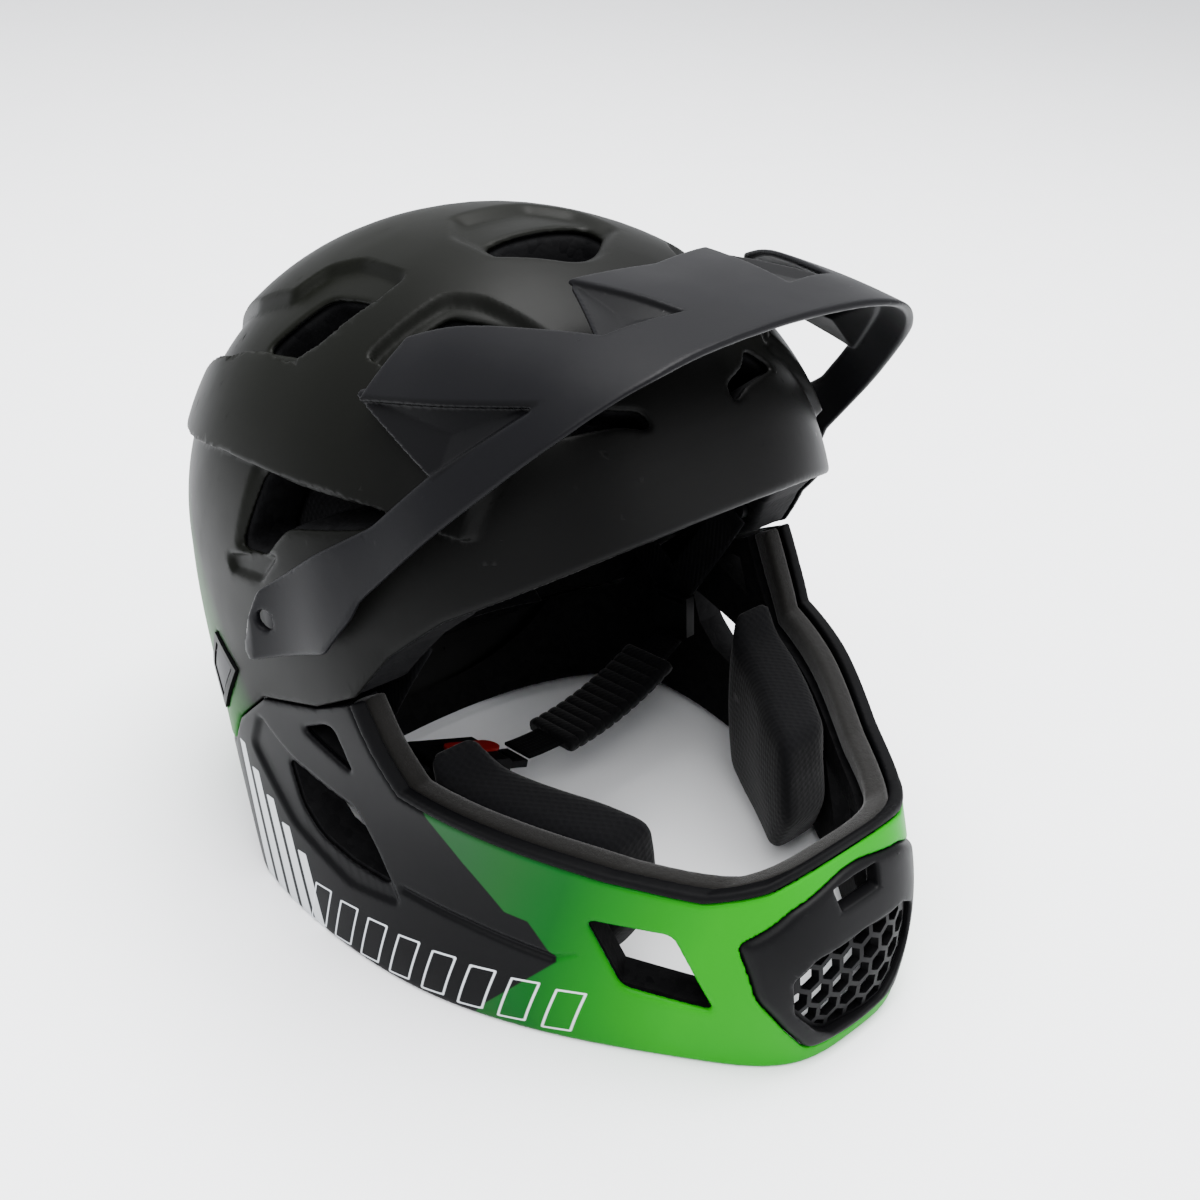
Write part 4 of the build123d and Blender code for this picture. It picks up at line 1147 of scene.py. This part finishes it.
class HELMET_OT_pads(bpy.types.Operator):
    """Cheek, brow, side, crown and nape pads"""
    bl_idname = "helmet.pads"
    bl_label = "Pads"

    def execute(self, context):
        use_space(INNER)
        cheek = cheek_shape()
        for side, name in ((-1, "right"), (1, "left")):
            pad = dress(mesh_from("cheek_cushion_" + name, cheek, side=side), "pad_fabric", "chin_bar",
                        "cheek_pad_" + name)
        above = np.maximum(top_field(CROWN_PAD, JAW, PAD_CORNER), BASE_Z - GZ[None, None, :])
        rear = np.maximum(front_field(NAPE_PAD, PAD_CORNER), -GY[None, :, None])
        pads = (("brow_cushion", "brow_pad", side_field(BROW_PAD, FOAM)),
                ("side_cushions", "side_pads", side_field(SIDE_PAD, PAD_CORNER)),
                ("crown_cushion", "crown_pad", above), ("nape_cushion", "nape_pad", rear))
        for name, node_name, prism in pads:
            pad = dress(mesh_from(name, pad_shape(prism)), "pad_fabric", "helmet", node_name)
        return {"FINISHED"}


class HELMET_OT_straps(bpy.types.Operator):
    """Chin strap, side straps, sleeve, dividers and buckle"""
    bl_idname = "helmet.straps"
    bl_label = "Straps"

    def execute(self, context):
        sizes = context.scene.helmet_sizes
        width = sizes.strap_width / MM
        level = (0.0, 1.0, 0.0)
        near, far = DIVIDER_WALL - STRAP_PLANE, STRAP_PLANE - DIVIDER_WALL
        for name, start, end, node_name in (("near_strap", near, BUCKLE_NEAR, "chin_strap_right"),
                                            ("far_strap", TONGUE_END, far, "chin_strap_left")):
            band = ribbon(name, hang_line(start, end, STRAP_STEPS), level, width, STRAP_WALL)
            dress(band, "webbing", "helmet", node_name)
        start, end, wide, thick = SLEEVE
        ribs = sizes.sleeve_ribs

        def quilt(share):
            return QUILT[0] + QUILT[1] * abs(math.sin(share * ribs * math.pi)) ** QUILT[2]

        sleeve = ribbon("strap_sleeve", hang_line(start, end, RIB_STEPS * ribs), level, wide, thick, quilt)
        dress(sleeve, "pad_fabric", "helmet", "chin_strap_sleeve")
        for side, name in ((-1, "right"), (1, "left")):
            bands = [side_band(name + str(i), side, anchor, width)
                     for i, anchor in enumerate((FRONT_ANCHOR, REAR_ANCHOR))]
            for band in bands:
                dress(band, "webbing", "helmet")
            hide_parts("side_straps_" + name)
        for name in ("strap_divider_right", "strap_divider_left", "strap_anchors", "buckle_body",
                     "buckle_tongue", "buckle_catch"):
            paint_node(name, "black_plastic")
        paint_node("buckle_pull_tab", "red_tab")
        return {"FINISHED"}


class HELMET_OT_stage(bpy.types.Operator):
    """Pale floor, soft studio light and the camera"""
    bl_idname = "helmet.stage"
    bl_label = "Stage"

    def execute(self, context):
        scene = context.scene
        mesh = bpy.data.meshes.new("floor")
        corners = [(a * FLOOR_REACH, b * FLOOR_REACH, 0) for a, b in ((-1, -1), (1, -1), (1, 1), (-1, 1))]
        mesh.from_pydata(corners, [], [(0, 1, 2, 3)])
        mesh.materials.append(floor_paper())
        add_object("floor", mesh)
        world = bpy.data.worlds.new("studio")
        world.use_nodes = True
        background = world.node_tree.nodes["Background"]
        background.inputs["Color"].default_value = linear(ROOM_LIGHT[0])
        background.inputs["Strength"].default_value = ROOM_LIGHT[1]
        scene.world = world
        for name, place, size, power in LAMPS:
            light = bpy.data.lights.new(name, "AREA")
            light.size = size
            light.energy = power
            lamp = add_object(name, light)
            lamp.location = place
            aim = Vector(LAMP_AIM) - Vector(place)
            lamp.rotation_euler = aim.to_track_quat("-Z", "Y").to_euler()
        add_camera(scene)
        return {"FINISHED"}


# Camera at the photograph's viewpoint
def add_camera(scene):
    az, el, roll = VIEW_ANGLES
    back = Vector((math.sin(az) * math.cos(el), -math.cos(az) * math.cos(el), math.sin(el)))
    right = Vector((math.cos(az), math.sin(az), 0))
    up = back.cross(right)
    rolled = (right * math.cos(roll) + up * math.sin(roll), up * math.cos(roll) - right * math.sin(roll))
    place = to_rest(np.array([Vector(VIEW_TARGET) + back * VIEW_DISTANCE]))[0]
    camera = bpy.data.cameras.new("camera")
    camera.sensor_width = SENSOR
    camera.lens = FOCAL_SHARE * SENSOR
    camera.clip_start = NEAREST
    obj = add_object("camera", camera)
    axes = [turn_rest(v) for v in (*rolled, back)]
    rows = [[axis[i] for axis in axes] + [place[i]] for i in range(3)]
    obj.matrix_world = Matrix(rows + [[0, 0, 0, 1]])
    scene.camera = obj


class HELMET_PT_panel(bpy.types.Panel):
    bl_label = "Helmet"
    bl_idname = "HELMET_PT_panel"
    bl_space_type = "VIEW_3D"
    bl_region_type = "UI"
    bl_category = "Helmet"

    def draw(self, context):
        sizes = context.scene.helmet_sizes
        for name in ("strap_width", "sleeve_ribs", "shell_colour", "chin_colour", "bright_colour",
                     "visor_colour"):
            self.layout.prop(sizes, name)
        for operator in operators:
            self.layout.operator(operator.bl_idname)


operators = [HELMET_OT_shell, HELMET_OT_liner, HELMET_OT_chin, HELMET_OT_visor, HELMET_OT_latches,
             HELMET_OT_pads, HELMET_OT_straps, HELMET_OT_stage]


def register():
    for kind in [HelmetSizes] + operators + [HELMET_PT_panel]:
        bpy.utils.register_class(kind)
    bpy.types.Scene.helmet_sizes = bpy.props.PointerProperty(type=HelmetSizes)


def unregister():
    del bpy.types.Scene.helmet_sizes
    for kind in [HELMET_PT_panel] + operators[::-1] + [HelmetSizes]:
        bpy.utils.unregister_class(kind)


def main():
    register()
    bpy.ops.helmet.stage()
    bpy.ops.helmet.shell()
    bpy.ops.helmet.liner()
    bpy.ops.helmet.chin()
    bpy.ops.helmet.visor()
    bpy.ops.helmet.latches()
    bpy.ops.helmet.pads()
    bpy.ops.helmet.straps()


if __name__ == "__main__":
    main()
